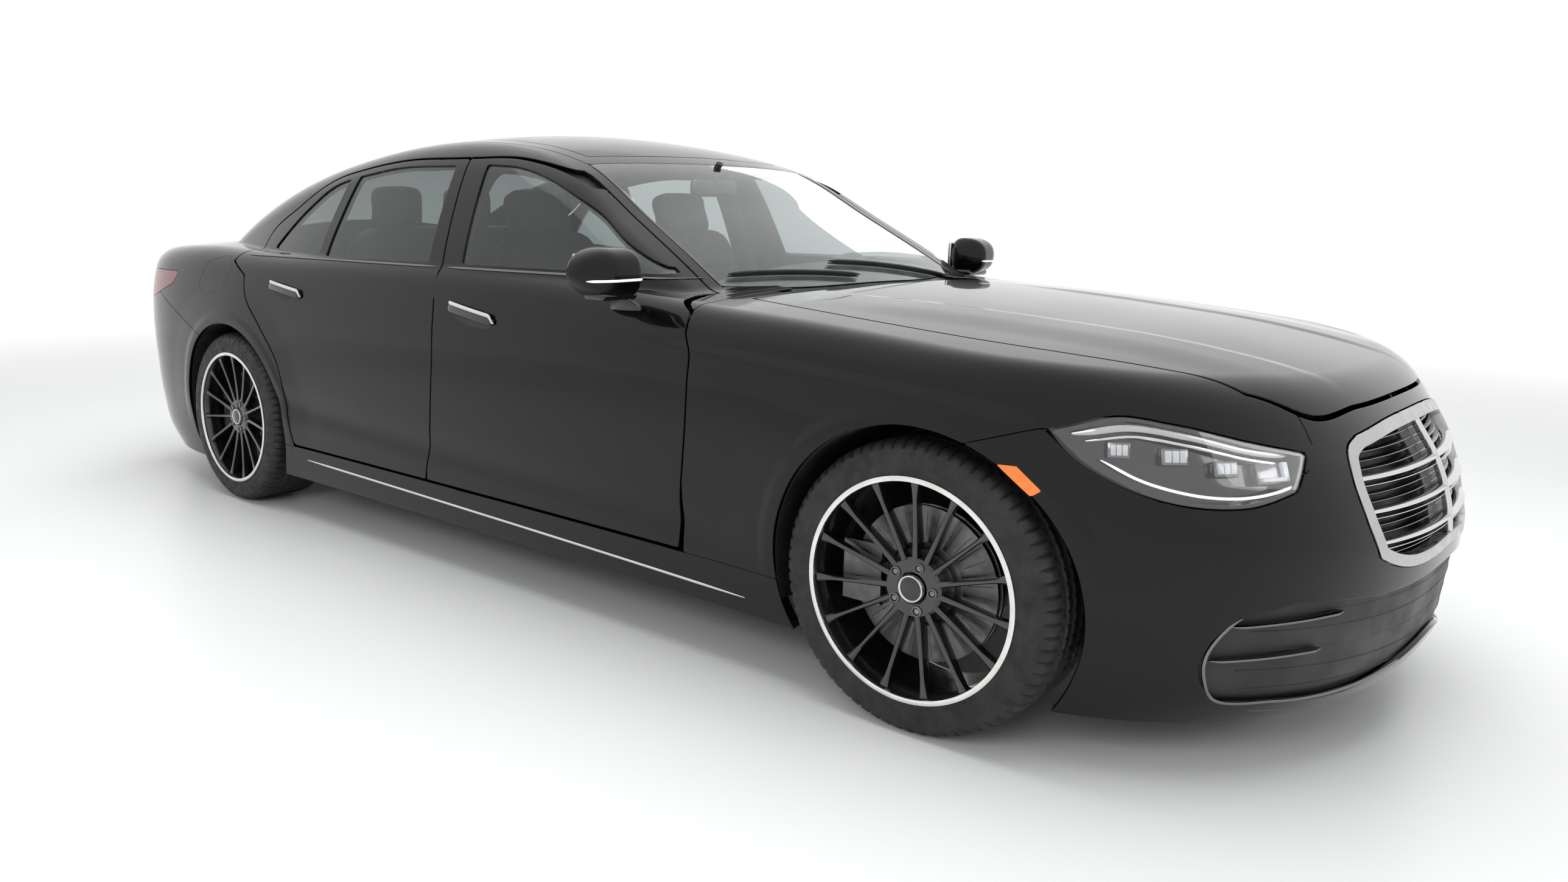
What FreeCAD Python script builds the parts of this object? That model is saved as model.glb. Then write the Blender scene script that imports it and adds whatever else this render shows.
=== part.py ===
"""A large four-door saloon car, built as separate panels, glass, doors, lids, wheels and running gear.

Millimetres. Nose towards -Y, left side towards +X, +Z up, origin on the ground under the car's middle.
The outer skin is given by two smooth fields, one for the lower body and one for the cabin above the belt.
Every panel is a slab cut from that skin by an outline, so neighbouring panels meet flush.
"""
import FreeCAD, Part
import math
import os

from FreeCAD import Placement, Rotation, Vector

SIZES = [
    ("overall_width", 1954, "widest across the rear wings, mirrors left out"),
    ("overall_height", 1503, "ground to roof"),
    ("wheelbase", 3216, "front axle to rear axle"),
    ("front_overhang", 879, "front axle to the nose's tip"),
    ("rear_overhang", 1194, "rear axle to the tail's tip"),
    ("front_track", 1660, "between the front wheels' middles"),
    ("rear_track", 1652, "between the rear wheels' middles"),
    ("front_tyre_diameter", 712, "front tyre"),
    ("rear_tyre_diameter", 708, "rear tyre"),
    ("front_tyre_width", 255, "front tyre section"),
    ("rear_tyre_width", 285, "rear tyre section"),
    ("rim_diameter", 530, "wheel rim over its flanges"),
    ("bead_diameter", 508, "tyre's inner edge on the rim"),
    ("hub_diameter", 150, "wheel centre"),
    ("disc_diameter", 380, "brake disc"),
    ("disc_thickness", 32, "brake disc"),
    ("disc_offset", 12, "brake disc's inner face outboard of the wheel's middle"),
    ("pad_gap", 6, "between brake disc and caliper"),
    ("axle_diameter", 36, "stub axle that carries a wheel"),
    ("kingpin_diameter", 28, "upright pin that a front wheel steers about"),
    ("kingpin_offset", 15, "kingpin inboard of the front wheel's middle"),
    ("arm_thickness", 28, "suspension arms"),
    ("arm_spread", 250, "between the upper and lower arms"),
    ("spoke_width", 20, "one spoke"),
    ("spoke_depth", 44, "one spoke, across the car"),
    ("axle_hole", 360, "opening in an arch liner's wall"),
    ("arch_radius", 397, "wheel arch's edge about the axle"),
    ("liner_wall", 4, "arch liner"),
    ("shoulder_blend", 80, "rounding between side and top of the lower body"),
    ("roof_blend", 80, "rounding between side and top of the cabin"),
    ("panel_wall", 30, "bonnet, wings, bumpers and tail panels"),
    ("roof_wall", 25, "roof panel"),
    ("rail_wall", 45, "cant rails and screen pillars"),
    ("lid_wall", 40, "boot lid"),
    ("door_skin", 36, "door's outer layer, out to its full outline"),
    ("door_thickness", 100, "whole door at its inner layer"),
    ("door_inset", 34, "inner layer's edge inside the door's outline"),
    ("door_frame", 32, "window frame's thickness"),
    ("glass_wall", 5, "door glass"),
    ("screen_wall", 6, "windscreen, rear window and roof glass"),
    ("door_gap", 9.5, "shut lines round the doors"),
    ("lid_gap", 8, "shut lines round the bonnet and boot lid"),
    ("seat_gap", 0.3, "between a fixed piece and its seat"),
    ("hinge_pin", 10, "hinge pin's diameter"),
    ("hinge_eye", 20, "hinge eye's diameter"),
    ("hinge_height", 34, "hinge eye's height"),
    ("lid_hinge_depth", 16, "bonnet and boot lid hinge axes below the skin"),
    ("lid_hinge_inset", 40, "bonnet and boot lid hinge axes inside the hinged edge"),
    ("hinge_depth", 26, "door hinge axis inboard of the widest skin beside it"),
    ("pillar_depth", 110, "lower door pillars' outer face below the skin"),
    ("upper_pillar_depth", 64, "pillar behind the window frames, below the skin"),
    ("pillar_wall", 42, "door pillars' thickness"),
    ("pillar_inset", 20, "door pillar's front edge ahead of the middle shut line"),
    ("floor_height", 165, "underside of the cabin floor"),
    ("floor_wall", 30, "cabin floor"),
    ("bulkhead_wall", 25, "bulkheads"),
    ("rail_height", 100, "front and rear chassis rails"),
    ("rail_width", 60, "front and rear chassis rails"),
    ("front_rail_reach", 492, "outer face of the front rails from the centre line"),
    ("rear_rail_reach", 640, "outer face of the boot's side walls from the centre line"),
    ("boot_wall", 15, "boot's floor and side walls"),
    ("boot_floor_height", 430, "boot floor above the ground"),
    ("engine_length", 640, "engine and gearbox front as one block"),
    ("engine_width", 560, "engine block"),
    ("engine_height", 520, "engine block"),
    ("engine_floor", 250, "underside of the engine block"),
    ("seat_width", 540, "front seat"),
    ("seat_height", 330, "front cushion's top above the floor"),
    ("cushion_height", 200, "cushion's thickness"),
    ("backrest_height", 640, "front backrest"),
    ("backrest_wall", 150, "front backrest"),
    ("steering_wheel_diameter", 375, "steering wheel"),
    ("steering_rim", 32, "steering wheel's rim section"),
    ("column_diameter", 50, "steering column"),
    ("mirror_length", 130, "mirror housing, fore and aft"),
    ("mirror_width", 215, "mirror housing, out from the door"),
    ("mirror_height", 150, "mirror housing"),
    ("tailpipe_height", 70, "tailpipe opening"),
    ("tailpipe_width", 190, "tailpipe opening"),
    ("exhaust_diameter", 60, "exhaust pipe"),
]

doc = FreeCAD.newDocument("SaloonCar")
sheet = doc.addObject("Spreadsheet::Sheet", "Sizes")
for row, (alias, value, note) in enumerate(SIZES, start=1):
    sheet.set(f"A{row}", alias)
    sheet.set(f"B{row}", str(value))
    sheet.set(f"C{row}", note)
    sheet.setAlias(f"B{row}", alias)
doc.recompute()


def size(alias):
    """The value of one cell of the sheet."""
    return float(sheet.get(alias))


HALF_WIDTH = size("overall_width") / 2
HEIGHT = size("overall_height")
WHEELBASE = size("wheelbase")
FRONT_OVERHANG = size("front_overhang")
REAR_OVERHANG = size("rear_overhang")
LENGTH = FRONT_OVERHANG + WHEELBASE + REAR_OVERHANG
FRONT_AXLE = FRONT_OVERHANG - LENGTH / 2
REAR_AXLE = FRONT_AXLE + WHEELBASE
FRONT_AXLE_HEIGHT = size("front_tyre_diameter") / 2
REAR_AXLE_HEIGHT = size("rear_tyre_diameter") / 2
SEAT_GAP = size("seat_gap")
DOOR_GAP = size("door_gap")
LID_GAP = size("lid_gap")
PERCENT = 0.01


def along(share):
    """Place along the car: -100 is the nose, 0 the front axle, 100 the rear axle, 200 the tail."""
    if share < 0:
        return FRONT_AXLE + share * PERCENT * FRONT_OVERHANG
    if share > 100:
        return REAR_AXLE + (share - 100) * PERCENT * REAR_OVERHANG
    return FRONT_AXLE + share * PERCENT * WHEELBASE


def up(share):
    """Height above the ground, as a share of the whole height in percent."""
    return share * PERCENT * HEIGHT


def across(share):
    """Distance from the centre line, as a share of half the width in percent."""
    return share * PERCENT * HALF_WIDTH


class Curve:
    """A smooth line through a few points, straight past its ends."""

    def __init__(self, points):
        self.places = [point[0] for point in points]
        self.values = [point[1] for point in points]
        spans = [b - a for a, b in zip(self.places, self.places[1:])]
        rises = [(b - a) / span for a, b, span in zip(self.values, self.values[1:], spans)]
        inner = [(rises[i] * spans[i + 1] + rises[i + 1] * spans[i]) / (spans[i] + spans[i + 1])
                 for i in range(len(rises) - 1)]
        self.slopes = [rises[0]] + inner + [rises[-1]]

    def __call__(self, place):
        if place <= self.places[0]:
            return self.values[0] + self.slopes[0] * (place - self.places[0])
        if place >= self.places[-1]:
            return self.values[-1] + self.slopes[-1] * (place - self.places[-1])
        i = 0
        while place > self.places[i + 1]:
            i += 1
        span = self.places[i + 1] - self.places[i]
        u = (place - self.places[i]) / span
        start = (1 + 2 * u) * (1 - u) ** 2 * self.values[i] + u * (1 - u) ** 2 * span * self.slopes[i]
        end = u * u * (3 - 2 * u) * self.values[i + 1] - u * u * (1 - u) * span * self.slopes[i + 1]
        return start + end


# The skin's driving lines. Places are shares in percent, as along, up and across read them.
DECK_SHARES = [(-100, 52.6), (-84, 56.1), (-68, 58.7), (-46, 61.3), (0, 64.3), (10, 65.9), (23, 67.5),
               (37, 70.3), (56, 72.3), (75, 72.4), (93, 71.9), (128, 72.7), (149, 72.1), (174, 70.7), (193, 69.5)]
WIDTH_SHARES = [(-100, 98.5), (0, 99.1), (22, 97.75), (56, 97.75), (84, 98.8), (100, 100), (140, 99.5),
                (200, 98)]
SIDE_SHARES = [(8.6, 94), (14, 96.3), (21.6, 97.4), (33.3, 98.6), (46.6, 100), (56.6, 99.5), (63.4, 97.5),
               (69.6, 94.5), (76.5, 90)]
NOSE_SHARES = [(6.7, 86.5), (10, 92.7), (14.6, 97.3), (21.3, 99.2), (29.3, 100), (37.3, 98.8), (45.2, 93.9),
               (49, 89.9), (53.2, 85.6), (56, 83), (63.2, 72.8)]
TAIL_SHARES = [(8.6, 85.4), (14.6, 93), (23.3, 98), (37.3, 100), (46.6, 99.7), (56.6, 98.7), (63.2, 97.7),
               (69.9, 96.3)]
ROOF_SHARES = [(17.4, 60.2), (22.9, 66.8), (28, 73.1), (35.8, 82.2), (43.5, 91.3), (49.8, 95.9), (56, 98.5),
               (62.2, 99.8), (66.9, 100), (74.6, 99.4), (84, 97), (90.2, 94.5), (96.4, 91), (107, 86.5),
               (123.8, 81), (140.5, 74.5), (148.9, 70.9)]
CABIN_SIDE_SHARES = [(63.2, 93.9), (66.5, 92.1), (73.2, 88.1), (79.8, 83.3), (86.5, 77.8), (93.1, 71.6),
                     (96.5, 68.3)]
CABIN_TAPER_SHARES = [(18.7, 12.3), (24.9, 8.7), (31.1, 5.1), (43.5, 1.4), (59, 0), (74.6, 0.4), (84, 1.6),
                      (90.2, 3.3), (96.4, 5.9), (115.4, 11.5), (140.5, 18.9)]
SCREEN_BOW_SHARES = [(20, 2.33), (43.5, 1.24), (62, 0), (90, -1.87), (140.5, -3.42)]
ROOF_CROWN_SHARES = [(20, 1.6), (43.5, 2.66), (62, 4), (84, 4.66), (124, 3), (149, 2.3)]
DECK_CROWN_SHARE = 2.66
CROWN_REACH_SHARE = 92
ROOF_CROWN_REACH_SHARE = 71.6
BOW_REACH_SHARE = 81.9
NOSE_ROUNDNESS = 2.3
TAIL_ROUNDNESS = 4.0

deck_line = Curve([(along(q), up(v)) for q, v in DECK_SHARES])
width_line = Curve([(along(q), v * PERCENT) for q, v in WIDTH_SHARES])
side_line = Curve([(up(q), v * PERCENT) for q, v in SIDE_SHARES])
nose_line = Curve([(up(q), v * PERCENT * FRONT_OVERHANG) for q, v in NOSE_SHARES])
tail_line = Curve([(up(q), v * PERCENT * REAR_OVERHANG) for q, v in TAIL_SHARES])
roof_line = Curve([(along(q), up(v)) for q, v in ROOF_SHARES])
cabin_side_line = Curve([(up(q), across(v)) for q, v in CABIN_SIDE_SHARES])
cabin_taper_line = Curve([(along(q), across(v)) for q, v in CABIN_TAPER_SHARES])
screen_bow_line = Curve([(along(q), v * PERCENT * WHEELBASE) for q, v in SCREEN_BOW_SHARES])
roof_crown_line = Curve([(along(q), up(v)) for q, v in ROOF_CROWN_SHARES])


def smooth_max(a, b, blend):
    """The larger of two fields, with their crossing rounded off."""
    overlap = max(blend - abs(a - b), 0) / blend
    return max(a, b) + overlap * overlap * blend / 4


def body_field(x, y, z):
    """Below zero inside the lower body, above zero outside it, roughly in millimetres."""
    side = abs(x) / (HALF_WIDTH * width_line(y) * max(side_line(z), 0.5))
    if y < FRONT_AXLE:
        end = (FRONT_AXLE - y) / max(nose_line(z), FRONT_OVERHANG / 2)
        plan = (side ** NOSE_ROUNDNESS + end ** NOSE_ROUNDNESS) ** (1 / NOSE_ROUNDNESS)
    elif y > REAR_AXLE:
        end = (y - REAR_AXLE) / max(tail_line(z), REAR_OVERHANG / 2)
        plan = (side ** TAIL_ROUNDNESS + end ** TAIL_ROUNDNESS) ** (1 / TAIL_ROUNDNESS)
    else:
        plan = side
    top = z - deck_line(y) + up(DECK_CROWN_SHARE) * (x / across(CROWN_REACH_SHARE)) ** 2
    return smooth_max((plan - 1) * HALF_WIDTH, top, size_shoulder)


def cabin_field(x, y, z):
    """Below zero inside the cabin's outer skin, above zero outside it."""
    side = abs(x) - cabin_side_line(z) + cabin_taper_line(y)
    bow = screen_bow_line(y) * (x / across(BOW_REACH_SHARE)) ** 2
    crown = roof_crown_line(y) * (x / across(ROOF_CROWN_REACH_SHARE)) ** 2
    return smooth_max(side, z - roof_line(y - bow) + crown, size_roof)


size_shoulder = size("shoulder_blend")
size_roof = size("roof_blend")


def surface_point(field, start, direction, reach):
    """Where a ray from inside the skin meets it."""
    low, high = 0.0, reach
    for step in range(40):
        middle = (low + high) / 2
        point = start + direction * middle
        if field(point.x, point.y, point.z) > 0:
            high = middle
        else:
            low = middle
    return start + direction * low


def outward(field, point):
    """The skin's unit normal at a point."""
    probe = 1.0
    x, y, z = point.x, point.y, point.z
    slope = Vector(field(x + probe, y, z) - field(x - probe, y, z),
                   field(x, y + probe, z) - field(x, y - probe, z),
                   field(x, y, z + probe) - field(x, y, z - probe))
    return slope.normalize()


def spread(low, high, count):
    """Evenly spaced values from low to high."""
    return [low + (high - low) * i / (count - 1) for i in range(count)]


def slab(field, ray, us, vs, top_depth, bottom_depth):
    """A solid between two depths below the skin, over the rays that ray(u, v) gives."""
    outer, inner = [], []
    for u in us:
        outer_row, inner_row = [], []
        for v in vs:
            start, direction = ray(u, v)
            point = surface_point(field, start, direction, LENGTH)
            normal = outward(field, point)
            outer_row.append(point - normal * top_depth)
            inner_row.append(point - normal * bottom_depth)
        outer.append(outer_row)
        inner.append(inner_row)
    return solid_between(outer, inner)


def sheet_through(rows):
    """A smooth face through a grid of points."""
    surface = Part.BSplineSurface()
    surface.interpolate(rows)
    return surface


def solid_between(outer, inner):
    """A solid closed between two grids of points."""
    top = sheet_through(outer)
    bottom = sheet_through(inner)
    faces = [top.toShape(), bottom.toShape()]
    for make in (lambda s: s.uIso(s.bounds()[0]), lambda s: s.uIso(s.bounds()[1]),
                 lambda s: s.vIso(s.bounds()[2]), lambda s: s.vIso(s.bounds()[3])):
        faces.append(Part.makeRuledSurface(make(top).toShape(), make(bottom).toShape()))
    shell = Part.makeShell(faces)
    shell.sewShape()
    solid = Part.makeSolid(Part.Shell(shell.Faces) if shell.ShapeType != "Shell" else shell)
    if solid.Volume < 0:
        solid.reverse()
    return solid


def fan(axis_x, axis_z):
    """Rays that fan out from a line along the car, u along it and v the angle above the horizontal."""
    def ray(y, angle):
        turn = math.radians(angle)
        return Vector(axis_x, y, axis_z), Vector(math.cos(turn), 0, math.sin(turn))
    return ray


def sweep_round(axis_y, facing):
    """Rays that fan out in plan from an upright line, facing -1 for the nose and 1 for the tail."""
    def ray(angle, z):
        turn = math.radians(angle)
        return Vector(0, axis_y, z), Vector(math.sin(turn), facing * math.cos(turn), 0)
    return ray


def edge_through(points):
    """A line through two points, or a smooth curve through more."""
    if len(points) == 2:
        return Part.makeLine(points[0], points[1])
    curve = Part.BSplineCurve()
    curve.interpolate(points)
    return curve.toShape()


def path_face(runs, place):
    """A flat face inside a closed path. Each run is a list of points: two for a line, more for a curve."""
    edges = [edge_through([place(*point) for point in run]) for run in runs]
    return Part.Face(Part.Wire(edges))


def grown(face, gap):
    """The same face, larger all round by a gap, with its edges made again so that they meet end to end."""
    if not gap:
        return face
    edges = Part.__sortEdges__(face.makeOffset2D(gap).OuterWire.Edges)
    runs = [edge.discretize(2 if edge.Curve.TypeId == "Part::GeomLine" else CURVE_POINTS)
            for edge in edges if edge.Length > SHORTEST_EDGE]
    for index, run in enumerate(runs):
        following = runs[(index + 1) % len(runs)]
        before = runs[index - 1]
        joins_ahead = min((run[-1] - point).Length for point in (following[0], following[-1]))
        joins_behind = min((run[0] - point).Length for point in (before[0], before[-1]))
        turned_ahead = min((run[0] - point).Length for point in (following[0], following[-1]))
        turned_behind = min((run[-1] - point).Length for point in (before[0], before[-1]))
        if turned_ahead + turned_behind < joins_ahead + joins_behind:
            run.reverse()
    for run, following in zip(runs, runs[1:] + runs[:1]):
        meeting = (run[-1] + following[0]) / 2
        run[-1] = following[0] = meeting
    return Part.Face(Part.Wire([edge_through(run) for run in runs]))


CURVE_POINTS = 16
SHORTEST_EDGE = 1.0


def plan_cutter(runs, gap=0):
    """A prism through the car's whole height from an outline in plan."""
    face = grown(path_face(runs, lambda q, v: Vector(across(q), along(v), -HEIGHT)), gap)
    return face.extrude(Vector(0, 0, 3 * HEIGHT))


def front_cutter(runs, facing, gap=0):
    """A prism through the nose, facing -1, or the tail, facing 1, from an outline in the end view."""
    face = grown(path_face(runs, lambda q, v: Vector(across(q), 0, up(v))), gap)
    return face.extrude(Vector(0, facing * LENGTH, 0))


def box(low, high):
    """A box between two corners."""
    return Part.makeBox(high[0] - low[0], high[1] - low[1], high[2] - low[2], Vector(*low))


def rod(start, end, radius):
    """A round bar between two points."""
    line = end - start
    return Part.makeCylinder(radius, line.Length, start, line)


def mirrored(shape):
    """The shape on the other side of the car."""
    return shape.mirror(Vector(0, 0, 0), Vector(1, 0, 0))


def both(shape):
    """The shape and its mirror image as one compound."""
    return Part.makeCompound([shape, mirrored(shape)])


def largest(shape, count=1):
    """The largest solids of a result, which drops slivers."""
    solids = sorted(shape.Solids, key=lambda solid: -abs(solid.Volume))[:count]
    return solids[0] if count == 1 else Part.makeCompound(solids)


NODES = []


def publish(name, shape):
    """Adds one sub-part to the document."""
    feature = doc.addObject("Part::Feature", name)
    feature.Label = name
    feature.Shape = shape
    feature.Placement = shape.Placement
    NODES.append(feature)
    return feature


def closed(*runs):
    """Joins runs end to end, with straight lines where they don't meet."""
    joined = []
    for run, following in zip(runs, runs[1:] + runs[:1]):
        joined.append(list(run))
        if run[-1] != following[0]:
            joined.append([run[-1], following[0]])
    return joined


def symmetric(*runs):
    """A whole outline from the left half's runs, which start and end on the centre line."""
    def turned(run):
        return [(-q, v) for q, v in reversed(run)]
    first = turned(runs[0])[:-1] + list(runs[0])
    last = list(runs[-1]) + turned(runs[-1])[1:]
    middle = [list(run) for run in runs[1:-1]]
    return [first] + middle + [last] + [turned(run) for run in reversed(middle)]


# Outlines in the side view, as shares along and up in percent.
BELT_SHARE = 67
SILL_TOP_SHARE = 19.8
FRAME_FOOT_SHARE = 62
FRAME_LEAN_SHARE = 0.27
FRONT_DOOR_FRONT_SHARES = [(22.3, 63.6), (21.6, 56), (21.6, 47), (22.5, 30), (22.8, SILL_TOP_SHARE)]
MIDDLE_SHARES = [(59.4, SILL_TOP_SHARE), (57.7, 36), (56.8, 49), (56.8, 58.2), (57.3, BELT_SHARE)]
MIDDLE_TOP_SHARES = [(57.3, BELT_SHARE), (59.9, 92.9)]
REAR_DOOR_REAR_SHARES = [(96.2, BELT_SHARE), (95.1, 58.7), (91.4, 50.5), (87.9, 41.6), (86.8, 30),
                         (86, SILL_TOP_SHARE)]
FRONT_FRAME_SHARES = [(26.2, BELT_SHARE), (32.9, 74.9), (39.7, 83.1), (44.9, 88.7), (52.1, 92.4), (59.9, 92.9)]
REAR_FRAME_SHARES = [(59.9, 92.9), (72.8, 92.7), (80, 90.9), (85, 88.9), (92, 81.5), (98.2, 72.9),
                     (99.2, BELT_SHARE)]
FRONT_WINDOW_SHARES = closed([(56.4, 91.2), (54.4, 69.6)], [(54.4, 69.6), (29.8, 69.6)],
                             [(29.8, 69.6), (34.1, 74.4), (41, 82.9), (46.6, 87.9), (51.4, 90.4), (56.4, 91.2)])
REAR_WINDOW_SHARES = closed([(61.6, 91.2), (72.8, 91), (79.8, 89.2)], [(79.8, 89.2), (80.6, 69.6)],
                            [(80.6, 69.6), (60, 69.6)])
QUARTER_WINDOW_SHARES = closed([(81.7, 88.5), (84.2, 87.3), (89.5, 80.6), (95, 70.6)], [(95, 70.6), (82.4, 69.6)])
FRONT_DOOR_SHARES = closed(FRONT_DOOR_FRONT_SHARES, MIDDLE_SHARES, [MIDDLE_SHARES[-1], (26.2, BELT_SHARE)])
REAR_DOOR_SHARES = closed(MIDDLE_SHARES, REAR_DOOR_REAR_SHARES)
FRONT_FRAME_OUTLINE_SHARES = closed(FRONT_FRAME_SHARES, MIDDLE_TOP_SHARES[::-1],
                                    [(57.3, FRAME_FOOT_SHARE), (26.2, FRAME_FOOT_SHARE)])
REAR_FRAME_OUTLINE_SHARES = closed(MIDDLE_TOP_SHARES, REAR_FRAME_SHARES,
                                   [(94, FRAME_FOOT_SHARE), (57.3, FRAME_FOOT_SHARE)])
FRONT_HINGE_SHARE = 24.1
REAR_HINGE_SHARE = 59.2
HINGE_LEVEL_SHARES = [38.6, 56.5]

# Outlines in plan, as shares across and along in percent, from the centre line round the left half.
BONNET_SHARES = symmetric([(0, -84), (30, -82), (50, -77), (62, -66)],
                          [(62, -66), (74, -30), (78, 0), (77, 10), (72, 21)], [(72, 21), (40, 19.8), (0, 19)])
SCREEN_SHARES = symmetric([(0, 22.8), (40, 23.6), (67, 25.8)], [(67, 25.8), (58, 46)],
                          [(58, 46), (30, 44.8), (0, 44.3)])
ROOF_GLASS_SHARES = symmetric([(0, 46.5), (30, 46.9), (52, 48)], [(52, 48), (54, 68)], [(54, 68), (0, 68)])
ROOF_PANEL_SHARES = symmetric([(0, 44.3), (30, 44.8), (58, 46)], [(58, 46), (61, 66), (58, 89.5)],
                              [(58, 89.5), (30, 88.3), (0, 88)])
REAR_SCREEN_SHARES = symmetric([(0, 88), (30, 88.3), (58, 89.5)], [(58, 89.5), (62, 134)],
                               [(62, 134), (32, 138), (0, 139)])
LID_SHARES = symmetric([(0, 142.5), (34, 141.5), (66, 137)], [(66, 137), (68, 160), (63, 185)],
                       [(63, 185), (63, 205)], [(63, 205), (0, 205)])

# Outlines in the end views, as shares across and up in percent, from the centre line round the left half.
GRILLE_SHARES = symmetric([(0, 51.8), (22, 51.4), (38, 50.2)], [(38, 50.2), (43, 48.8), (46, 45), (45, 39), (41, 33)],
                          [(41, 33), (37, 31.9), (0, 31)])
INTAKE_SHARES = symmetric([(0, 28.5), (38, 27.5), (62, 28)], [(62, 28), (73, 25), (76, 17), (72, 13)],
                          [(72, 13), (44, 12), (0, 16.5)])
LID_FACE_SHARES = symmetric([(0, 80), (75, 80)], [(75, 80), (75, 66.5)], [(75, 66.5), (60, 64.5), (57, 61)],
                            [(57, 61), (57, 52)], [(57, 52), (50, 46.6)], [(50, 46.6), (0, 46.6)])
HEADLAMP_SHARES = closed([(55.5, 48.6), (68, 50.6), (80, 53), (87, 53.9), (94.2, 51.6)],
                         [(94.2, 51.6), (91.5, 46.8), (85.2, 42.9), (72.2, 41.6), (61.5, 43.6)],
                         [(61.5, 43.6), (55.5, 48.6)])
TAIL_LAMP_SHARES = closed([(57.5, 62.3), (84, 62.3), (104, 63.2)], [(104, 63.2), (104, 54)],
                          [(104, 54), (57.5, 53)])
TAIL_LAMP_SIDE_SHARES = closed([(205, 70), (141, 70)], [(141, 70), (139.5, 62), (141.5, 60), (149, 57.8), (165, 54.5)],
                               [(165, 54.5), (205, 48)])
BUMPER_SIDE_SHARES = closed([(118, 5), (118, 45.4)], [(118, 45.4), (124, 47), (134, 49.7), (150, 54.4), (163, 58)],
                            [(163, 58), (205, 58)], [(205, 58), (205, 5)])
WING_FOOT_SHARE = 51
LAMP_MIDDLE_SHARE = 46
NOSE_PANEL_REACH = 0.53
LAMP_TIP_REACH = 0.85
GROUND_SHARE = 8.6


def side_cutter(runs, gap=0, lean=0):
    """A prism across the left half from an outline in the side view.

    Lean slants it, so that its end inboard of the side glass lies further forward."""
    far = 2 * HALF_WIDTH
    face = path_face(runs, lambda q, v: Vector(0, along(q) - lean * cabin_side_line(up(v)), up(v)))
    return grown(face, gap).extrude(Vector(far, lean * far, 0))


def arch(axle, height, radius, inner=0, outer=2):
    """A cylinder across the left half about a wheel's axle, between two shares of the half width."""
    start = Vector(inner * HALF_WIDTH, axle, height)
    return Part.makeCylinder(radius, (outer - inner) * HALF_WIDTH, start, Vector(1, 0, 0))


def between(y_low, y_high, z_low=-1, z_high=3, x_low=-2, x_high=2):
    """A block that keeps a stretch of the car. Heights and widths are in whole heights and half widths."""
    return box((x_low * HALF_WIDTH, y_low, z_low * HEIGHT), (x_high * HALF_WIDTH, y_high, z_high * HEIGHT))


FAN_X = across(50)
BODY_FAN = fan(FAN_X, up(42))
CABIN_FAN = fan(across(46), up(60))
BODY_ANGLES = spread(-62, 80, 19)
CABIN_ANGLES = spread(-12, 82, 17)
REACH = 1.0
REACH_IN = size("door_thickness")



def shoulder_ray(y, share):
    """Sideways rays from the sill up to just below the shoulder, share from 0 to 1."""
    foot = up(SILL_TOP_SHARE - 2)
    shoulder = deck_line(y) - up(DECK_CROWN_SHARE) - SHOULDER_DROP
    return Vector(0, y, foot + share * (shoulder - foot)), Vector(1, 0, 0)


SHOULDER_DROP = size("shoulder_blend") / 3
SEAT = SEAT_GAP
LEFT = between(-LENGTH, LENGTH, x_low=0)


def fan_slab(field, rays, start, end, angles, top_depth, bottom_depth, count=13):
    """A slab over the rays that fan out from a line along the car, between two places along it."""
    return slab(field, rays, spread(along(start), along(end), count), angles, top_depth, bottom_depth)


def end_slab(facing, levels, top_depth, bottom_depth, reach=90, count=19):
    """A slab round the nose or the tail, between two heights."""
    pivot = along(-15) if facing < 0 else along(110)
    rays = sweep_round(pivot, facing)
    return slab(body_field, rays, spread(-reach, reach, count), spread(up(levels[0]), up(levels[1]), 10),
                top_depth, bottom_depth)


def plan_slab(field, start, end, half_width, top_depth, bottom_depth, base=50):
    """A slab over an area of the car's top, across both halves."""
    def ray(x, y):
        return Vector(x, y, up(base)), Vector(0, 0, 1)
    return slab(field, ray, spread(-across(half_width), across(half_width), 13),
                spread(along(start), along(end), 13), top_depth, bottom_depth)


front_arch = arch(FRONT_AXLE, FRONT_AXLE_HEIGHT, size("arch_radius"))
rear_arch = arch(REAR_AXLE, REAR_AXLE_HEIGHT, size("arch_radius"))
bonnet_cut = plan_cutter(BONNET_SHARES, LID_GAP / 2)
lid_cut = plan_cutter(LID_SHARES, LID_GAP / 2)
lamp_cut = front_cutter(HEADLAMP_SHARES, -1, SEAT)
lid_face_cut = front_cutter(LID_FACE_SHARES, 1, LID_GAP / 2)
door_cuts = [side_cutter(outline, DOOR_GAP / 2) for outline in (FRONT_DOOR_SHARES, REAR_DOOR_SHARES)]
frame_cuts = [side_cutter(outline, DOOR_GAP / 2, FRAME_LEAN_SHARE)
              for outline in (FRONT_FRAME_OUTLINE_SHARES, REAR_FRAME_OUTLINE_SHARES)]
cabin_core = fan_slab(cabin_field, CABIN_FAN, 22, 143, CABIN_ANGLES, -2 * SEAT, size("rail_wall") + REACH_IN)
tail_lamp_cut = front_cutter(TAIL_LAMP_SHARES, 1, SEAT).common(side_cutter(TAIL_LAMP_SIDE_SHARES, SEAT))
rear_bumper_cut = side_cutter(BUMPER_SIDE_SHARES, SEAT)
skirt_line = up(SILL_TOP_SHARE - 0.4)
A_BASE = along(22.6)


nose_outside = end_slab(-1, (18, 54), -size("door_thickness"), size("panel_wall") + SEAT)
tail_outside = end_slab(1, (12, 66), -size("door_thickness"), size("panel_wall") + SEAT)


def hinge_axis(share):
    """The upright axis of a door's hinges, below the widest skin beside it."""
    y = along(share)
    widest = surface_point(body_field, Vector(0, y, up(47)), Vector(1, 0, 0), LENGTH)
    return Vector(widest.x - size("hinge_depth"), y, 0)


def lifted(point, z):
    return Vector(point.x, point.y, z)


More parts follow.
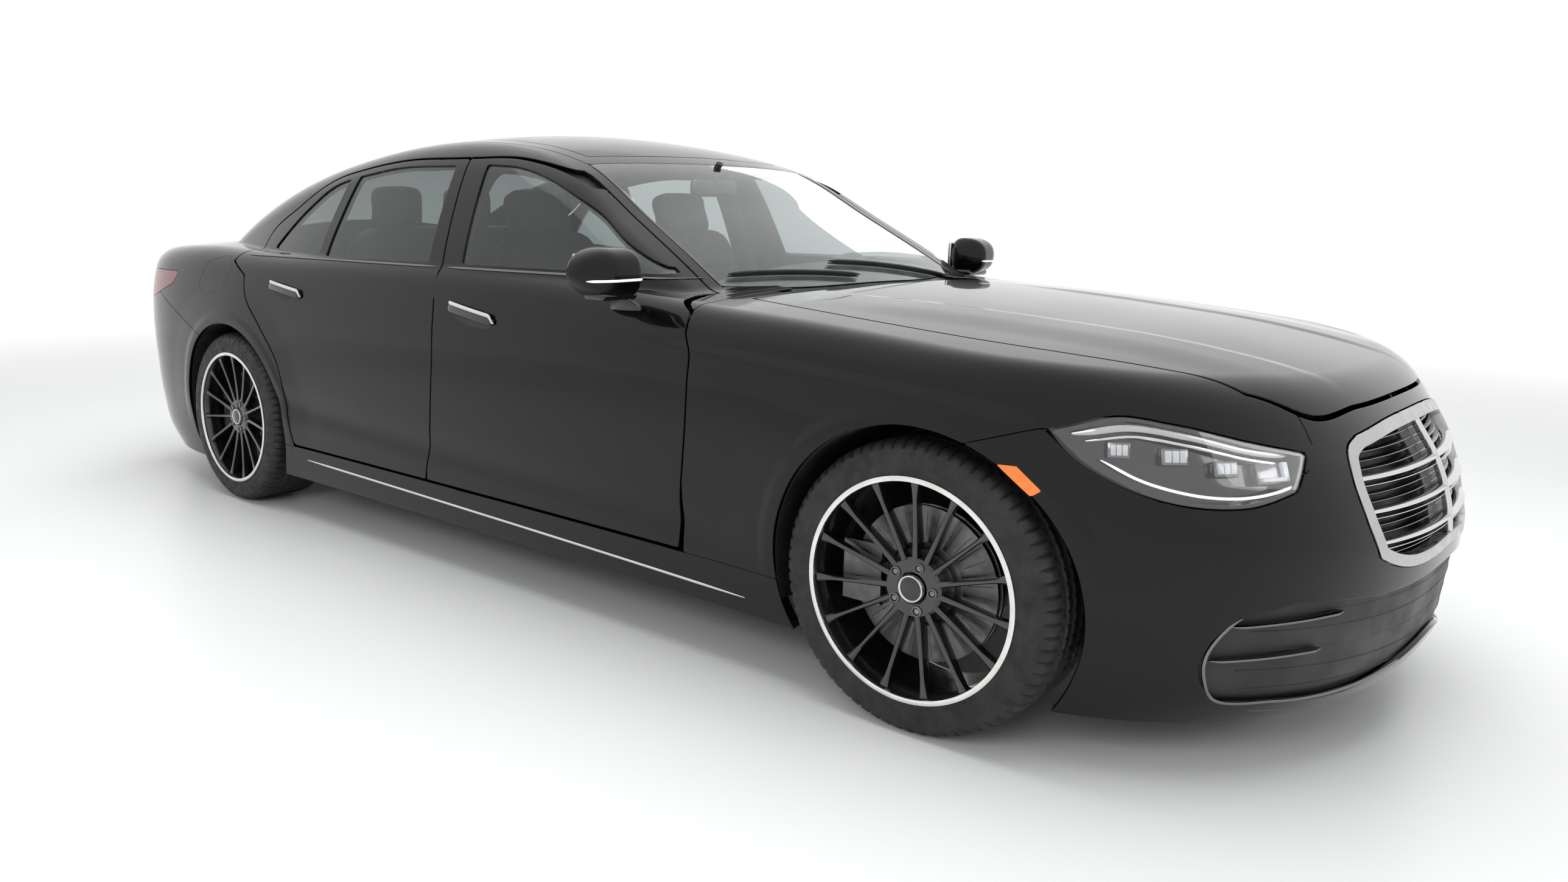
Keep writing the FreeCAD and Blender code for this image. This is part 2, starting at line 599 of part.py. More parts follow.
def make_door(lower, upper, windows, start, end, hinge_share, other_cut):
    """A left door: outer layer, inner layer and window frame in one, with its pins, and its panes.

    The inner layer's hinged edge is cut round, so that it swings clear of the pillar."""
    axis = hinge_axis(hinge_share)
    eye, tall = size("hinge_eye") / 2, size("hinge_height")
    side = 3 * size("door_thickness")
    corner = box((axis.x - side, axis.y - side, 0), (axis.x, axis.y, HEIGHT))
    corner = corner.cut(rod(lifted(axis, 0), lifted(axis, HEIGHT), size("pillar_depth") - size("hinge_depth") - eye / 2))
    corner = corner.fuse(box((axis.x - side, axis.y - side, up(KNEE_SHARE) - DOOR_GAP),
                             (axis.x + side, axis.y + 5 * eye, HEIGHT)))
    ys = spread(along(start), along(end), 11)
    shares = spread(0, 1, 7)
    skin = slab(body_field, shoulder_ray, ys, shares, 0, size("door_skin"))
    inner = slab(body_field, shoulder_ray, ys, shares, size("door_skin") - REACH, size("door_thickness"))
    frame = fan_slab(cabin_field, CABIN_FAN, start + 2, end, CABIN_ANGLES, 0, size("door_frame"))
    pane = fan_slab(cabin_field, CABIN_FAN, start + 2, end, CABIN_ANGLES, size("glass_wall"),
                    2 * size("glass_wall"))
    outboard = between(-LENGTH, LENGTH, x_low=FRAME_REACH)
    frame, pane = frame.common(outboard), pane.common(outboard)
    skin = skin.common(side_cutter(lower, -DOOR_GAP / 2))
    inner = inner.common(side_cutter(lower, -size("door_inset"))).cut(corner)
    frame = frame.common(side_cutter(upper, -DOOR_GAP / 2, FRAME_LEAN_SHARE)).cut(other_cut)
    panes = []
    for window in windows:
        frame = frame.cut(side_cutter(window, 0, FRAME_LEAN_SHARE).common(LEFT))
        panes.append(largest(pane.common(side_cutter(window, -SEAT, FRAME_LEAN_SHARE))))
    door = largest(skin.fuse(inner).fuse(largest(frame)))
    room = DOOR_GAP / 2
    for level in HINGE_LEVEL_SHARES:
        foot, head = up(level) - tall / 2 - room, up(level) + tall / 2 + room
        arm = box((axis.x - size("pillar_depth"), axis.y - eye / 2 - room, foot), (axis.x, axis.y + eye / 2 + room, head))
        open_arm = arm.rotated(axis, Vector(0, 0, 1), DOOR_SWING)
        swept = Part.makeCylinder(size("pillar_depth"), head - foot, lifted(axis, foot), Vector(0, 0, 1), DOOR_SWING)
        swept = swept.rotated(axis, Vector(0, 0, 1), 180).fuse([arm, open_arm])
        recess = box((axis.x - size("door_thickness"), axis.y - HINGE_REACH, foot),
                     (axis.x - eye, axis.y + eye + room, head))
        recess = recess.fuse(rod(lifted(axis, foot), lifted(axis, head), eye + room / 2))
        pin = rod(lifted(axis, foot - eye), lifted(axis, head + eye), size("hinge_pin") / 2)
        door = door.cut(recess).cut(swept).fuse(pin)
    return largest(door), Part.makeCompound(panes)


HINGE_REACH = 2 * size("hinge_eye")
FRAME_REACH = 0.66
DOOR_SWING = 67
KNEE_SHARE = 62.5


def make_hinges():
    """The leaves on the door pillars, each with an eye round the door's pin."""
    leaves = []
    for share in (FRONT_HINGE_SHARE, REAR_HINGE_SHARE):
        axis = hinge_axis(share)
        eye, tall = size("hinge_eye") / 2, size("hinge_height")
        for level in HINGE_LEVEL_SHARES:
            foot, head = up(level) - tall / 2, up(level) + tall / 2
            leaf = rod(lifted(axis, foot), lifted(axis, head), eye)
            arm = box((axis.x - size("pillar_depth"), axis.y - eye / 2, foot), (axis.x, axis.y + eye / 2, head))
            arm = arm.cut(pillar_core)
            leaf = largest(leaf.fuse(largest(arm)))
            leaf = leaf.cut(rod(lifted(axis, foot), lifted(axis, head), size("hinge_pin") / 2 + SEAT))
            leaves += [leaf, mirrored(leaf)]
    return Part.makeCompound(leaves)


pillar_core = slab(body_field, shoulder_ray, spread(along(15), along(66), 9), spread(0, 1, 7),
                   size("pillar_depth") - SEAT, 4 * size("pillar_depth"))


def make_pillars():
    """The hinge pillar and the middle pillar of the left side, behind the doors."""
    wall = size("pillar_wall")
    depth = size("pillar_depth")
    eye = size("hinge_eye")
    rows = spread(0, 1, 7)
    lower = slab(body_field, shoulder_ray, spread(along(15), along(66), 9), rows, depth, depth + wall)
    front = lower.common(between(along(17.4), along(FRONT_HINGE_SHARE) + eye))
    middle = lower.common(between(along(MIDDLE_SHARES[3][0]) - size("pillar_inset"),
                                  along(REAR_HINGE_SHARE) + eye))
    upper_depth = size("upper_pillar_depth")
    span = between(along(58.6), along(60.9))
    knee = fan_slab(cabin_field, CABIN_FAN, 54, 64, CABIN_ANGLES, upper_depth + wall / 2, upper_depth + 2 * wall, 5)
    knee = knee.common(between(along(57.6), along(60.4), up(KNEE_SHARE) / HEIGHT, up(71) / HEIGHT, 0))
    upper = fan_slab(cabin_field, CABIN_FAN, 54, 64, CABIN_ANGLES, upper_depth, upper_depth + wall, 5)
    upper = upper.common(between(span.BoundBox.YMin, span.BoundBox.YMax, up(68) / HEIGHT, up(95.5) / HEIGHT, 0))
    cap = fan_slab(cabin_field, CABIN_FAN, 54, 64, CABIN_ANGLES, size("rail_wall") + SEAT, upper_depth + wall, 5)
    cap = cap.common(between(span.BoundBox.YMin, span.BoundBox.YMax, up(93.6) / HEIGHT, up(95.5) / HEIGHT, 0))
    return front, middle.fuse([knee, upper, cap])


def make_body_shell():
    """Floor, sills, bulkheads, pillars, boot and rails in one."""
    floor, wall = size("floor_height"), size("floor_wall")
    bulk = size("bulkhead_wall")
    front_y, back_y = along(17), along(92)
    cabin_half = across(84)
    rail_x, rail_w, rail_h = size("front_rail_reach"), size("rail_width"), size("rail_height")
    boot_x, boot_w = size("rear_rail_reach"), size("boot_wall")
    boot_z = size("boot_floor_height")
    rail_z = up(28)
    tunnel_x = TUNNEL_HALF
    pieces = [
        box((-cabin_half, front_y, floor), (cabin_half, along(87), floor + wall)),
        box((-boot_x, along(87) - REACH, floor), (boot_x, back_y, floor + wall)),
        box((-cabin_half, front_y, floor), (cabin_half, front_y + bulk, up(60))),
        box((-boot_x, back_y - bulk, floor), (boot_x, back_y, up(66))),
        box((-boot_x, back_y - bulk, boot_z), (boot_x, along(186), boot_z + boot_w)),
        box((-across(58), along(186) - boot_w, boot_z), (across(58), along(186), up(43))),
        box((-tunnel_x, front_y, floor), (tunnel_x, back_y, floor + TUNNEL_WALLS * wall)),
        box((-rail_x, along(-82), up(30)), (rail_x, along(-82) + rail_w, up(30) + rail_w)),
        box((-across(68), front_y, up(60) - bulk), (across(68), along(24), up(60))),
        box((-boot_x, back_y - bulk, shelf_top - bulk), (boot_x, along(146), shelf_top)),
    ]
    engine_foot = size("engine_floor") - SEAT
    for y in (along(-20), along(2)):
        pieces.append(box((-rail_x, y, engine_foot - wall), (rail_x, y + rail_w, engine_foot)))
        for x in (rail_x - rail_w, -rail_x):
            pieces.append(box((x, y, engine_foot - wall), (x + rail_w, y + rail_w, rail_z + REACH)))
    front_pillar, middle_pillar = make_pillars()
    sill = box((across(82), along(15), floor), (SILL_FACE, along(86.5), up(SILL_TOP_SHARE - 0.8)))
    for side in (lambda shape: shape, mirrored):
        pieces += [side(shape) for shape in (
            box((rail_x - rail_w, along(-100), rail_z), (rail_x, front_y + bulk, rail_z + rail_h)),
            box((boot_x - boot_w, back_y - bulk, boot_z), (boot_x, along(186), up(64))),
            sill, front_pillar, middle_pillar)]
    shell = pieces[0].fuse(pieces[1:])
    shell = shell.cut(box((-tunnel_x + bulk, front_y - REACH, 0), (tunnel_x - bulk, back_y + REACH, floor + (TUNNEL_WALLS - 1) * wall)))
    return largest(shell.cut(nose_outside))


def make_side_frame():
    """Screen pillar, cant rail and rear pillar of the left side, above the belt."""
    frame = fan_slab(cabin_field, CABIN_FAN, 22, 142, CABIN_ANGLES, 0, size("rail_wall"), 25)
    frame = frame.common(between(A_BASE + SEAT, along(143), x_low=0))
    shelf = box((-size("rear_rail_reach"), along(92) - size("bulkhead_wall"), 0),
                (size("rear_rail_reach"), along(146), shelf_top + SEAT))
    frame = frame.cut(door_cuts + frame_cuts + [lid_cut, shelf])
    for outline in (SCREEN_SHARES, ROOF_PANEL_SHARES, REAR_SCREEN_SHARES):
        frame = frame.cut(plan_cutter(outline, SEAT))
    return largest(frame.common(between(A_BASE, along(143), up(64) / HEIGHT)))


def make_top_panels():
    """Windscreen, roof, roof glass and rear window."""
    def panel(outline, start, end, wall, base=58, cut=()):
        sheet_slab = plan_slab(cabin_field, start, end, 72, 0, wall, base)
        piece = sheet_slab.common(plan_cutter(outline))
        return largest(piece.cut(list(cut)) if cut else piece)
    glass = size("screen_wall")
    window = plan_cutter(ROOF_GLASS_SHARES, SEAT)
    return {
        "windscreen": panel(SCREEN_SHARES, 22.5, 48, glass),
        "roof": panel(ROOF_PANEL_SHARES, 43, 91, size("roof_wall"), cut=[window]),
        "roof_glass": panel(ROOF_GLASS_SHARES, 43, 72, glass),
        "rear_window": panel(REAR_SCREEN_SHARES, 86, 141, glass),
    }


def nose_zone(gap):
    """What belongs to the front bumper of the left half: below the lamp's middle, and the panel over the grille."""
    return [between(-LENGTH, FRONT_AXLE, -1, (up(WING_FOOT_SHARE) + gap) / HEIGHT, LAMP_TIP_REACH),
            between(-LENGTH, FRONT_AXLE, -1, (up(LAMP_MIDDLE_SHARE) + gap) / HEIGHT, 0),
            between(-LENGTH, FRONT_AXLE, -1, 1, -1, NOSE_PANEL_REACH + gap / HALF_WIDTH)]


def make_fender():
    """The left front wing, from the headlamp to the front door."""
    wing = fan_slab(body_field, BODY_FAN, -80, 22.6, BODY_ANGLES, 0, size("panel_wall"), 17)
    wing = wing.cut([front_arch, bonnet_cut, lamp_cut, door_cuts[0]] + nose_zone(SEAT))
    return largest(wing.common(between(-LENGTH, A_BASE, (skirt_line + SEAT) / HEIGHT, 1)))


def make_bonnet():
    """The bonnet, with its hinge pins at the rear corners."""
    lid = plan_slab(body_field, -85, 22, 82, 0, size("panel_wall"))
    return lid.common(plan_cutter(BONNET_SHARES, -LID_GAP / 2))


def make_front_bumper():
    """Nose panel and bumper in one, open for the grille, the lower intake and the headlamps."""
    skin = end_slab(-1, (GROUND_SHARE, 56), 0, size("panel_wall"), 94, 23)
    skin = skin.cut([front_arch, mirrored(front_arch), bonnet_cut, lamp_cut, mirrored(lamp_cut),
                     front_cutter(GRILLE_SHARES, -1, SEAT), front_cutter(INTAKE_SHARES, -1, SEAT)])
    for flank in (LEFT, mirrored(LEFT)):
        left = flank.cut(nose_zone(0) if flank is LEFT else [mirrored(zone) for zone in nose_zone(0)])
        skin = skin.cut(left)
    return largest(skin.common(between(-LENGTH, along(-10))))


def make_intake():
    """The lower intake's back plate, set back behind the bumper's skin."""
    wall = size("panel_wall")
    return largest(end_slab(-1, (5, 35), wall / 2, wall, 75).common(front_cutter(INTAKE_SHARES, -1, 0)))


def make_grille():
    """Frame, louvres and centre bar in front of a back plate."""
    wall = size("panel_wall")
    frame = end_slab(-1, (29, 53), 0, wall + wall / 2, 46)
    back = end_slab(-1, (29, 53), wall, wall + wall / 2, 46)
    louvre = end_slab(-1, (29, 53), wall / 5, wall + REACH, 46)
    outline = front_cutter(GRILLE_SHARES, -1, 0)
    opening = front_cutter(GRILLE_SHARES, -1, -GRILLE_RIM)
    ring = frame.common(outline).cut(opening)
    bars = [box((-across(50), -LENGTH, up(level)), (across(50), LENGTH, up(level) + GRILLE_RIM / 2))
            for level in LOUVRE_SHARES]
    bars.append(box((-GRILLE_RIM, -LENGTH, 0), (GRILLE_RIM, LENGTH, HEIGHT)))
    louvres = [largest(louvre.common(bar).common(outline)) for bar in bars]
    return largest(ring.fuse([back.common(outline)] + louvres).cut(bonnet_cut))


GRILLE_RIM = size("panel_wall") * 0.8
LOUVRE_SHARES = [35, 39.4, 44]


def make_lamp(facing, outline, levels, side_outline=None):
    """One left lamp, a block behind its own stretch of skin."""
    block = end_slab(facing, levels, 0, LAMP_DEPTH, 94, 23).common(front_cutter(outline, facing, 0))
    if side_outline:
        block = block.common(side_cutter(side_outline))
    return largest(block.common(LEFT))


LAMP_DEPTH = 2 * size("panel_wall")


def make_quarter():
    """The left rear wing, from the rear door to the tail lamp."""
    wing = fan_slab(body_field, BODY_FAN, 83, 190, BODY_ANGLES, 0, size("panel_wall"), 21)
    wing = wing.cut([rear_arch, door_cuts[1], frame_cuts[1], cabin_core, lid_cut, tail_lamp_cut, lid_face_cut,
                     rear_bumper_cut])
    return largest(wing.common(between(along(83.5), along(TAIL_SPLIT_SHARE), (skirt_line + SEAT) / HEIGHT, 1)))


TAIL_SPLIT_SHARE = 180


def make_tail_panel():
    """The corner behind the left wing, over the tail lamp."""
    skin = end_slab(1, (50, 66.5), 0, size("panel_wall"), 60, 25)
    skin = skin.cut([lid_cut, lid_face_cut, tail_lamp_cut, rear_bumper_cut])
    return largest(skin.common(between(along(TAIL_SPLIT_SHARE) + SEAT, LENGTH, 0, 1, 0.3)))


def make_rear_bumper():
    """The rear bumper, round from one wheel arch to the other."""
    skin = end_slab(1, (GROUND_SHARE, 60), 0, size("panel_wall"), 94, 27)
    zone = side_cutter(BUMPER_SIDE_SHARES)
    skin = skin.common(zone.fuse(mirrored(zone)))
    skin = skin.cut([rear_arch, mirrored(rear_arch), tail_lamp_cut, mirrored(tail_lamp_cut), lid_face_cut]
                    + tailpipes(SEAT))
    return largest(skin)


def make_boot_lid():
    """Deck and rear face of the boot lid in one, swept over the tail's upper edge."""
    start_y, start_z = along(165), up(52)

    def ray(x, angle):
        turn = math.radians(angle)
        return Vector(x, start_y, start_z), Vector(0, math.cos(turn), math.sin(turn))
    lid = slab(body_field, ray, spread(-across(70), across(70), 13), spread(-24, 141, 21), 0, size("lid_wall"))
    lid = lid.common(plan_cutter(LID_SHARES, -LID_GAP / 2))
    return largest(lid.common(front_cutter(LID_FACE_SHARES, 1, -LID_GAP / 2)))


def make_liner(axle, height, inner):
    """A left wheel house: a round shell under the wing and a wall beside the rail."""
    outer = size("arch_radius") - SEAT
    wall = size("liner_wall")
    start = Vector(inner + SEAT, axle, height)
    reach = HALF_WIDTH - inner
    shell = Part.makeCylinder(outer, reach, start, Vector(1, 0, 0))
    shell = shell.cut(Part.makeCylinder(outer - wall, reach, start + Vector(3 * wall, 0, 0), Vector(1, 0, 0)))
    shell = shell.cut(Part.makeCylinder(AXLE_HOLE, reach, start - Vector(wall, 0, 0), Vector(1, 0, 0)))
    skin_side = core_outside(axle)
    return largest(shell.cut(skin_side).common(between(-LENGTH, LENGTH, up(16) / HEIGHT, 1)))


def core_outside(axle):
    """What lies outside the wing's skin beside a wheel."""
    start, end = (-52, 24) if axle < 0 else (80, 150)
    return fan_slab(body_field, BODY_FAN, start, end, BODY_ANGLES, -size("door_thickness"), size("liner_wall"))


AXLE_HOLE = size("axle_hole") / 2


def revolved(profile, centre):
    """A ring about a line across the car, from points of distance along the line and radius."""
    points = [Vector(offset, 0, radius) for offset, radius in profile]
    face = Part.Face(Part.makePolygon(points + [points[0]]))
    ring = face.revolve(Vector(0, 0, 0), Vector(1, 0, 0), 360)
    ring.translate(centre)
    return ring


def make_tyre(diameter, width, centre):
    """A tyre as a closed ring, seated on the rim."""
    outer, inner = diameter / 2, size("rim_diameter") / 2 + SEAT
    half = width / 2
    shoulder = width / 10
    profile = [(-half + shoulder / 2, inner), (-half, inner + 2 * shoulder), (-half, outer - 1.5 * shoulder),
               (-half + shoulder, outer - shoulder / 4), (-half + 2 * shoulder, outer),
               (half - 2 * shoulder, outer), (half - shoulder, outer - shoulder / 4),
               (half, outer - 1.5 * shoulder), (half, inner + 2 * shoulder), (half - shoulder / 2, inner)]
    return revolved(profile, centre)


def make_wheel(width, centre):
    """Rim, spokes, hub and brake disc of a left wheel in one."""
    flange = size("rim_diameter") / 2
    well = size("bead_diameter") / 2 - 2 * RIM_WALL
    half = width / 2 - RIM_WALL
    rim = revolved([(-half, flange), (-half, flange - 3 * RIM_WALL), (half, flange - 2 * RIM_WALL), (half, flange)],
                   centre)
    hub = size("hub_diameter") / 2
    bore = size("axle_diameter") / 2 + SEAT
    face = half - RIM_WALL
    back = half - SPOKE_DEPTH
    centre_piece = revolved([(back, hub), (face, hub * 0.8), (face, 0.01), (back, 0.01)], centre)
    disc = size("disc_diameter") / 2
    disc_face = size("disc_offset")
    rotor = revolved([(disc_face, disc), (disc_face + size("disc_thickness"), disc),
                      (disc_face + size("disc_thickness"), hub), (back + REACH, hub), (back + REACH, bore),
                      (disc_face, bore)], centre)
    spokes = []
    for index in range(SPOKE_COUNT):
        spoke = box((back, -SPOKE_WIDTH / 2, hub - 2 * SPOKE_WIDTH), (face, SPOKE_WIDTH / 2, flange - 2 * RIM_WALL))
        spoke.rotate(Vector(0, 0, 0), Vector(1, 0, 0), 360 * index / SPOKE_COUNT)
        spoke.translate(centre)
        spokes.append(spoke)
    wheel = rim.fuse([centre_piece, rotor] + spokes)
    return largest(wheel.cut(Part.makeCylinder(bore, 2 * disc, centre - Vector(2 * disc - back - hub / 4, 0, 0),
                                               Vector(1, 0, 0))))


RIM_WALL = (size("rim_diameter") - size("bead_diameter")) / 2
SPOKE_COUNT = 15
SPOKE_WIDTH = size("spoke_width")
SPOKE_DEPTH = size("spoke_depth")


def make_knuckle(centre, kingpin):
    """Kingpin, upright, stub axle and brake caliper of the left front wheel in one."""
    pin = size("kingpin_diameter") / 2
    low, high = lower_arm_height(centre), upper_arm_height(centre)
    arm = size("arm_thickness")
    bar = rod(Vector(kingpin, centre.y, low - arm / 2), Vector(kingpin, centre.y, high + arm / 2), pin)
    block = box((kingpin - 1.5 * pin, centre.y - 2 * pin, low + arm / 2 + SEAT),
                (kingpin + 1.5 * pin, centre.y + 2 * pin, high - arm / 2 - SEAT))
    return largest(bar.fuse([block, stub_axle(centre, kingpin), caliper(centre, kingpin)]))


def lower_arm_height(centre):
    return centre.z - size("arm_spread") / 2


def upper_arm_height(centre):
    return centre.z + size("arm_spread") / 2


def stub_axle(centre, start):
    """The axle that a wheel turns on."""
    reach = centre.x + size("disc_offset") + size("disc_thickness")
    return rod(Vector(start, centre.y, centre.z), Vector(reach, centre.y, centre.z), size("axle_diameter") / 2)


def caliper(centre, start):
    """The brake caliper, a saddle over the disc's rear edge, on an arm from the upright."""
    disc = size("disc_diameter") / 2
    face = centre.x + size("disc_offset")
    gap = size("pad_gap")
    wall = size("disc_thickness") / 2
    saddle = box((face - gap - 2 * wall, centre.y + 0.55 * disc, centre.z - 0.4 * disc),
                 (face + size("disc_thickness") + gap + wall, centre.y + disc + gap + wall, centre.z + 0.4 * disc))
    slot = Part.makeCylinder(disc + gap, size("disc_thickness") + 2 * gap, Vector(face - gap, centre.y, centre.z),
                             Vector(1, 0, 0))
    arm = box((start, centre.y, centre.z - wall), (face - gap, centre.y + 0.7 * disc, centre.z + wall))
    return saddle.cut(slot).fuse(arm)


def make_front_suspension(centre, kingpin):
    """Upper and lower arms of both front wheels, on the chassis rails."""
    pieces = []
    arm = size("arm_thickness")
    pin = size("kingpin_diameter") / 2
    root = size("front_rail_reach") + SEAT
    for height in (lower_arm_height(centre), upper_arm_height(centre)):
        link = box((root, centre.y - arm, height - arm / 2), (kingpin, centre.y + arm, height + arm / 2))
        link = link.fuse(rod(Vector(kingpin, centre.y, height - arm / 2), Vector(kingpin, centre.y, height + arm / 2),
                             0.75 * arm))
        hole = rod(Vector(kingpin, centre.y, 0), Vector(kingpin, centre.y, HEIGHT), pin + SEAT)
        pieces.append(link.cut(hole))
    hanger = box((root, centre.y - arm, lower_arm_height(centre)), (root + arm / 2, centre.y + arm,
                                                                     upper_arm_height(centre)))
    side = largest(pieces[0].fuse([pieces[1], hanger]))
    return both(side)


def make_rear_suspension(centre):
    """Uprights, arms, stub axles and calipers of both rear wheels."""
    arm = size("arm_thickness")
    root = size("rear_rail_reach") + SEAT
    upright_x = centre.x - size("arm_spread") / 3
    upright = box((upright_x - arm, centre.y - arm, lower_arm_height(centre)),
                  (upright_x, centre.y + arm, upper_arm_height(centre)))
    links = [box((root, centre.y - arm, height - arm / 2), (upright_x, centre.y + arm, height + arm / 2))
             for height in (lower_arm_height(centre) + arm, upper_arm_height(centre))]
    side = largest(upright.fuse(links + [stub_axle(centre, upright_x - arm), caliper(centre, upright_x - arm)]))
    beam = box((-root - arm, centre.y - arm, lower_arm_height(centre) + arm / 2),
               (root + arm, centre.y + arm, lower_arm_height(centre) + 1.5 * arm))
    return largest(side.fuse([mirrored(side), beam]))


def rounded(shape, radius):
    """A box with every edge rounded."""
    return shape.makeFillet(radius, shape.Edges)


def make_front_seats():
    """Two front seats, each a cushion, a backrest and a headrest in one."""
    floor = size("floor_height") + size("floor_wall") + SEAT
    half = size("seat_width") / 2
    middle, front = across(40), along(37)
    cushion_top = floor + size("seat_height")
    depth = size("seat_width")
    back = size("backrest_wall")
    soft = back / 4
    base = box((middle - half * 0.8, front + soft, floor), (middle + half * 0.8, front + depth - soft, cushion_top - back))
    cushion = rounded(box((middle - half, front, cushion_top - size("cushion_height")),
                          (middle + half, front + depth, cushion_top)), soft)
    rest = rounded(box((middle - half, front + depth - back, cushion_top - back),
                       (middle + half, front + depth, cushion_top + size("backrest_height"))), soft)
    rest.rotate(Vector(middle, front + depth, cushion_top - back), Vector(1, 0, 0), -SEAT_LEAN)
    head = rounded(box((middle - half / 2, front + depth - back * 0.8, cushion_top + size("backrest_height") - soft),
                       (middle + half / 2, front + depth - back * 0.1,
                        cushion_top + size("backrest_height") + back)), soft)
    head.rotate(Vector(middle, front + depth, cushion_top - back), Vector(1, 0, 0), -SEAT_LEAN)
    return both(largest(base.fuse([cushion, rest, head])))


SEAT_LEAN = 18


TUNNEL_HALF = across(16)
TUNNEL_WALLS = 4


def make_rear_seat():
    """The rear bench with its backrest and headrests."""
    floor = size("floor_height") + size("floor_wall") + SEAT
    half = across(72)
    cushion_top = floor + size("seat_height")
    soft = size("backrest_wall") / 4
    rear = along(92) - size("bulkhead_wall") - SEAT
    front = rear - 1.6 * size("seat_width")
    outer = across(63)
    base = rounded(box((-outer, front, floor), (outer, along(86), cushion_top)), soft)
    back = rounded(box((-outer, along(84.5), floor), (outer, rear, cushion_top + size("backrest_height"))), soft)
    heads = [rounded(box((x - soft * 3, rear - soft * 4, cushion_top + size("backrest_height") - soft),
                         (x + soft * 3, rear - soft, cushion_top + size("backrest_height") + soft * 4)), soft)
             for x in (-across(38), 0, across(38))]
    seat = base.fuse(back)
    for head in heads:
        seat = seat.fuse(head)
    tunnel = TUNNEL_HALF + SEAT
    tunnel_top = floor + (TUNNEL_WALLS - 1) * size("floor_wall")
    return largest(seat.cut(box((-tunnel, front - soft, 0), (tunnel, rear + soft, tunnel_top))))


def make_dashboard():
    """Dashboard and centre console in one, with the steering column's bore."""
    floor = size("floor_height") + TUNNEL_WALLS * size("floor_wall") + SEAT
    soft = size("backrest_wall") / 5
    top = rounded(box((-across(62), along(24.5), up(47)), (across(62), along(33.5), up(64))), soft)
    console = rounded(box((-across(11), along(31), floor), (across(11), along(62), up(37))), soft)
    stem = rounded(box((-across(15), along(29), floor), (across(15), along(35), up(52))), soft)
    stay = box((-across(60), along(17) + size("bulkhead_wall") + SEAT, up(50)), (across(60), along(26), up(56)))
    dash = largest(top.fuse([console, stem, stay]))
    return dash.cut(column_rod(size("column_diameter") / 2 + SEAT, 0.02))


WHEEL_CENTRE = Vector(across(40), along(36), up(60))
COLUMN_TILT = 24


def column_direction():
    turn = math.radians(COLUMN_TILT)
    return Vector(0, -math.cos(turn), -math.sin(turn))


def column_rod(radius, extra=0):
    """The steering column from the wheel's hub into the dashboard."""
    reach = along(36) - along(29)
    return Part.makeCylinder(radius, reach * (1 + extra), WHEEL_CENTRE, column_direction())


def make_mirror():
    """The left door mirror: housing and arm, standing off the door."""
    length, width, height = size("mirror_length"), size("mirror_width"), size("mirror_height")
    root = surface_point(body_field, Vector(0, along(29), up(62.6)), Vector(1, 0, 0), LENGTH)
    low = up(65.4)
    housing = rounded(box((root.x - width * 0.1, root.y - length / 2, low),
                          (root.x - width * 0.1 + width, root.y + length / 2, low + height)), height / 4)
    arm = rounded(box((root.x + SEAT, root.y - length / 4, up(61.8)),
                      (root.x + width / 3, root.y + length / 4, low + height / 3)), height / 8)
    return largest(housing.fuse(arm))


def make_steering_wheel():
    """Steering wheel and column in one."""
    rim = size("steering_rim") / 2
    ring = size("steering_wheel_diameter") / 2 - rim
    facing = column_direction()
    wheel = Part.makeTorus(ring, rim, WHEEL_CENTRE, facing)
    hub = Part.makeCylinder(2 * size("column_diameter") / 2, size("column_diameter"), WHEEL_CENTRE, facing)
    turn = Rotation(Vector(0, -1, 0), facing)
    for angle in (0, 180, 270):
        spoke = box((0, -rim / 2, -rim), (ring, rim / 2, rim))
        spoke.rotate(Vector(0, 0, 0), Vector(0, 1, 0), angle)
        spoke.Placement = Placement(WHEEL_CENTRE, turn).multiply(spoke.Placement)
        wheel = wheel.fuse(spoke)
    return largest(wheel.fuse(hub).fuse(column_rod(size("column_diameter") / 2)))


def make_exhaust():
    """Two pipes under the floor, a silencer and two tailpipes through the bumper."""
    pipe = size("exhaust_diameter") / 2
    height = size("floor_height") + 1.2 * pipe
    offset = across(6)
    box_front, box_rear = along(130), along(165)
    silencer = box((-across(50), box_front, height - pipe), (across(50), box_rear, size("boot_floor_height") - SEAT))
    exhaust = silencer
    for x in (offset, -offset):
        exhaust = exhaust.fuse(rod(Vector(x, along(20), height), Vector(x, box_front + pipe, height), pipe))
    for outlet in tailpipes():
        exhaust = exhaust.fuse(outlet)
    return largest(exhaust)


def tailpipes(gap=0):
    """Both tailpipes, or larger by a gap as the bumper's cutouts for them."""
    half, tall = size("tailpipe_width") / 2 + gap, size("tailpipe_height") / 2 + gap
    height = size("floor_height") + size("exhaust_diameter")
    return [box((x - half, along(164), height - tall), (x + half, along(197), height + tall))
            for x in (across(TAILPIPE_SHARE), -across(TAILPIPE_SHARE))]


TAILPIPE_SHARE = 52


def make_skirts():
    """The sill covers below the doors."""
    skirt = fan_slab(body_field, BODY_FAN, 10, 91, spread(-64, -20, 8), 0, 3 * size("panel_wall"), 15)
    skirt = skirt.common(between(along(11), along(90), up(11) / HEIGHT, skirt_line / HEIGHT,
                                 (SILL_FACE + SEAT) / HALF_WIDTH))
    return largest(skirt.cut([front_arch, rear_arch]))


SILL_FACE = across(89)



def lid_axis(x, y):
    """A point of a lid's hinge axis, below the skin at its place."""
    top = surface_point(body_field, Vector(x, y, up(50)), Vector(0, 0, 1), LENGTH)
    return Vector(x, y, top.z - size("lid_hinge_depth"))


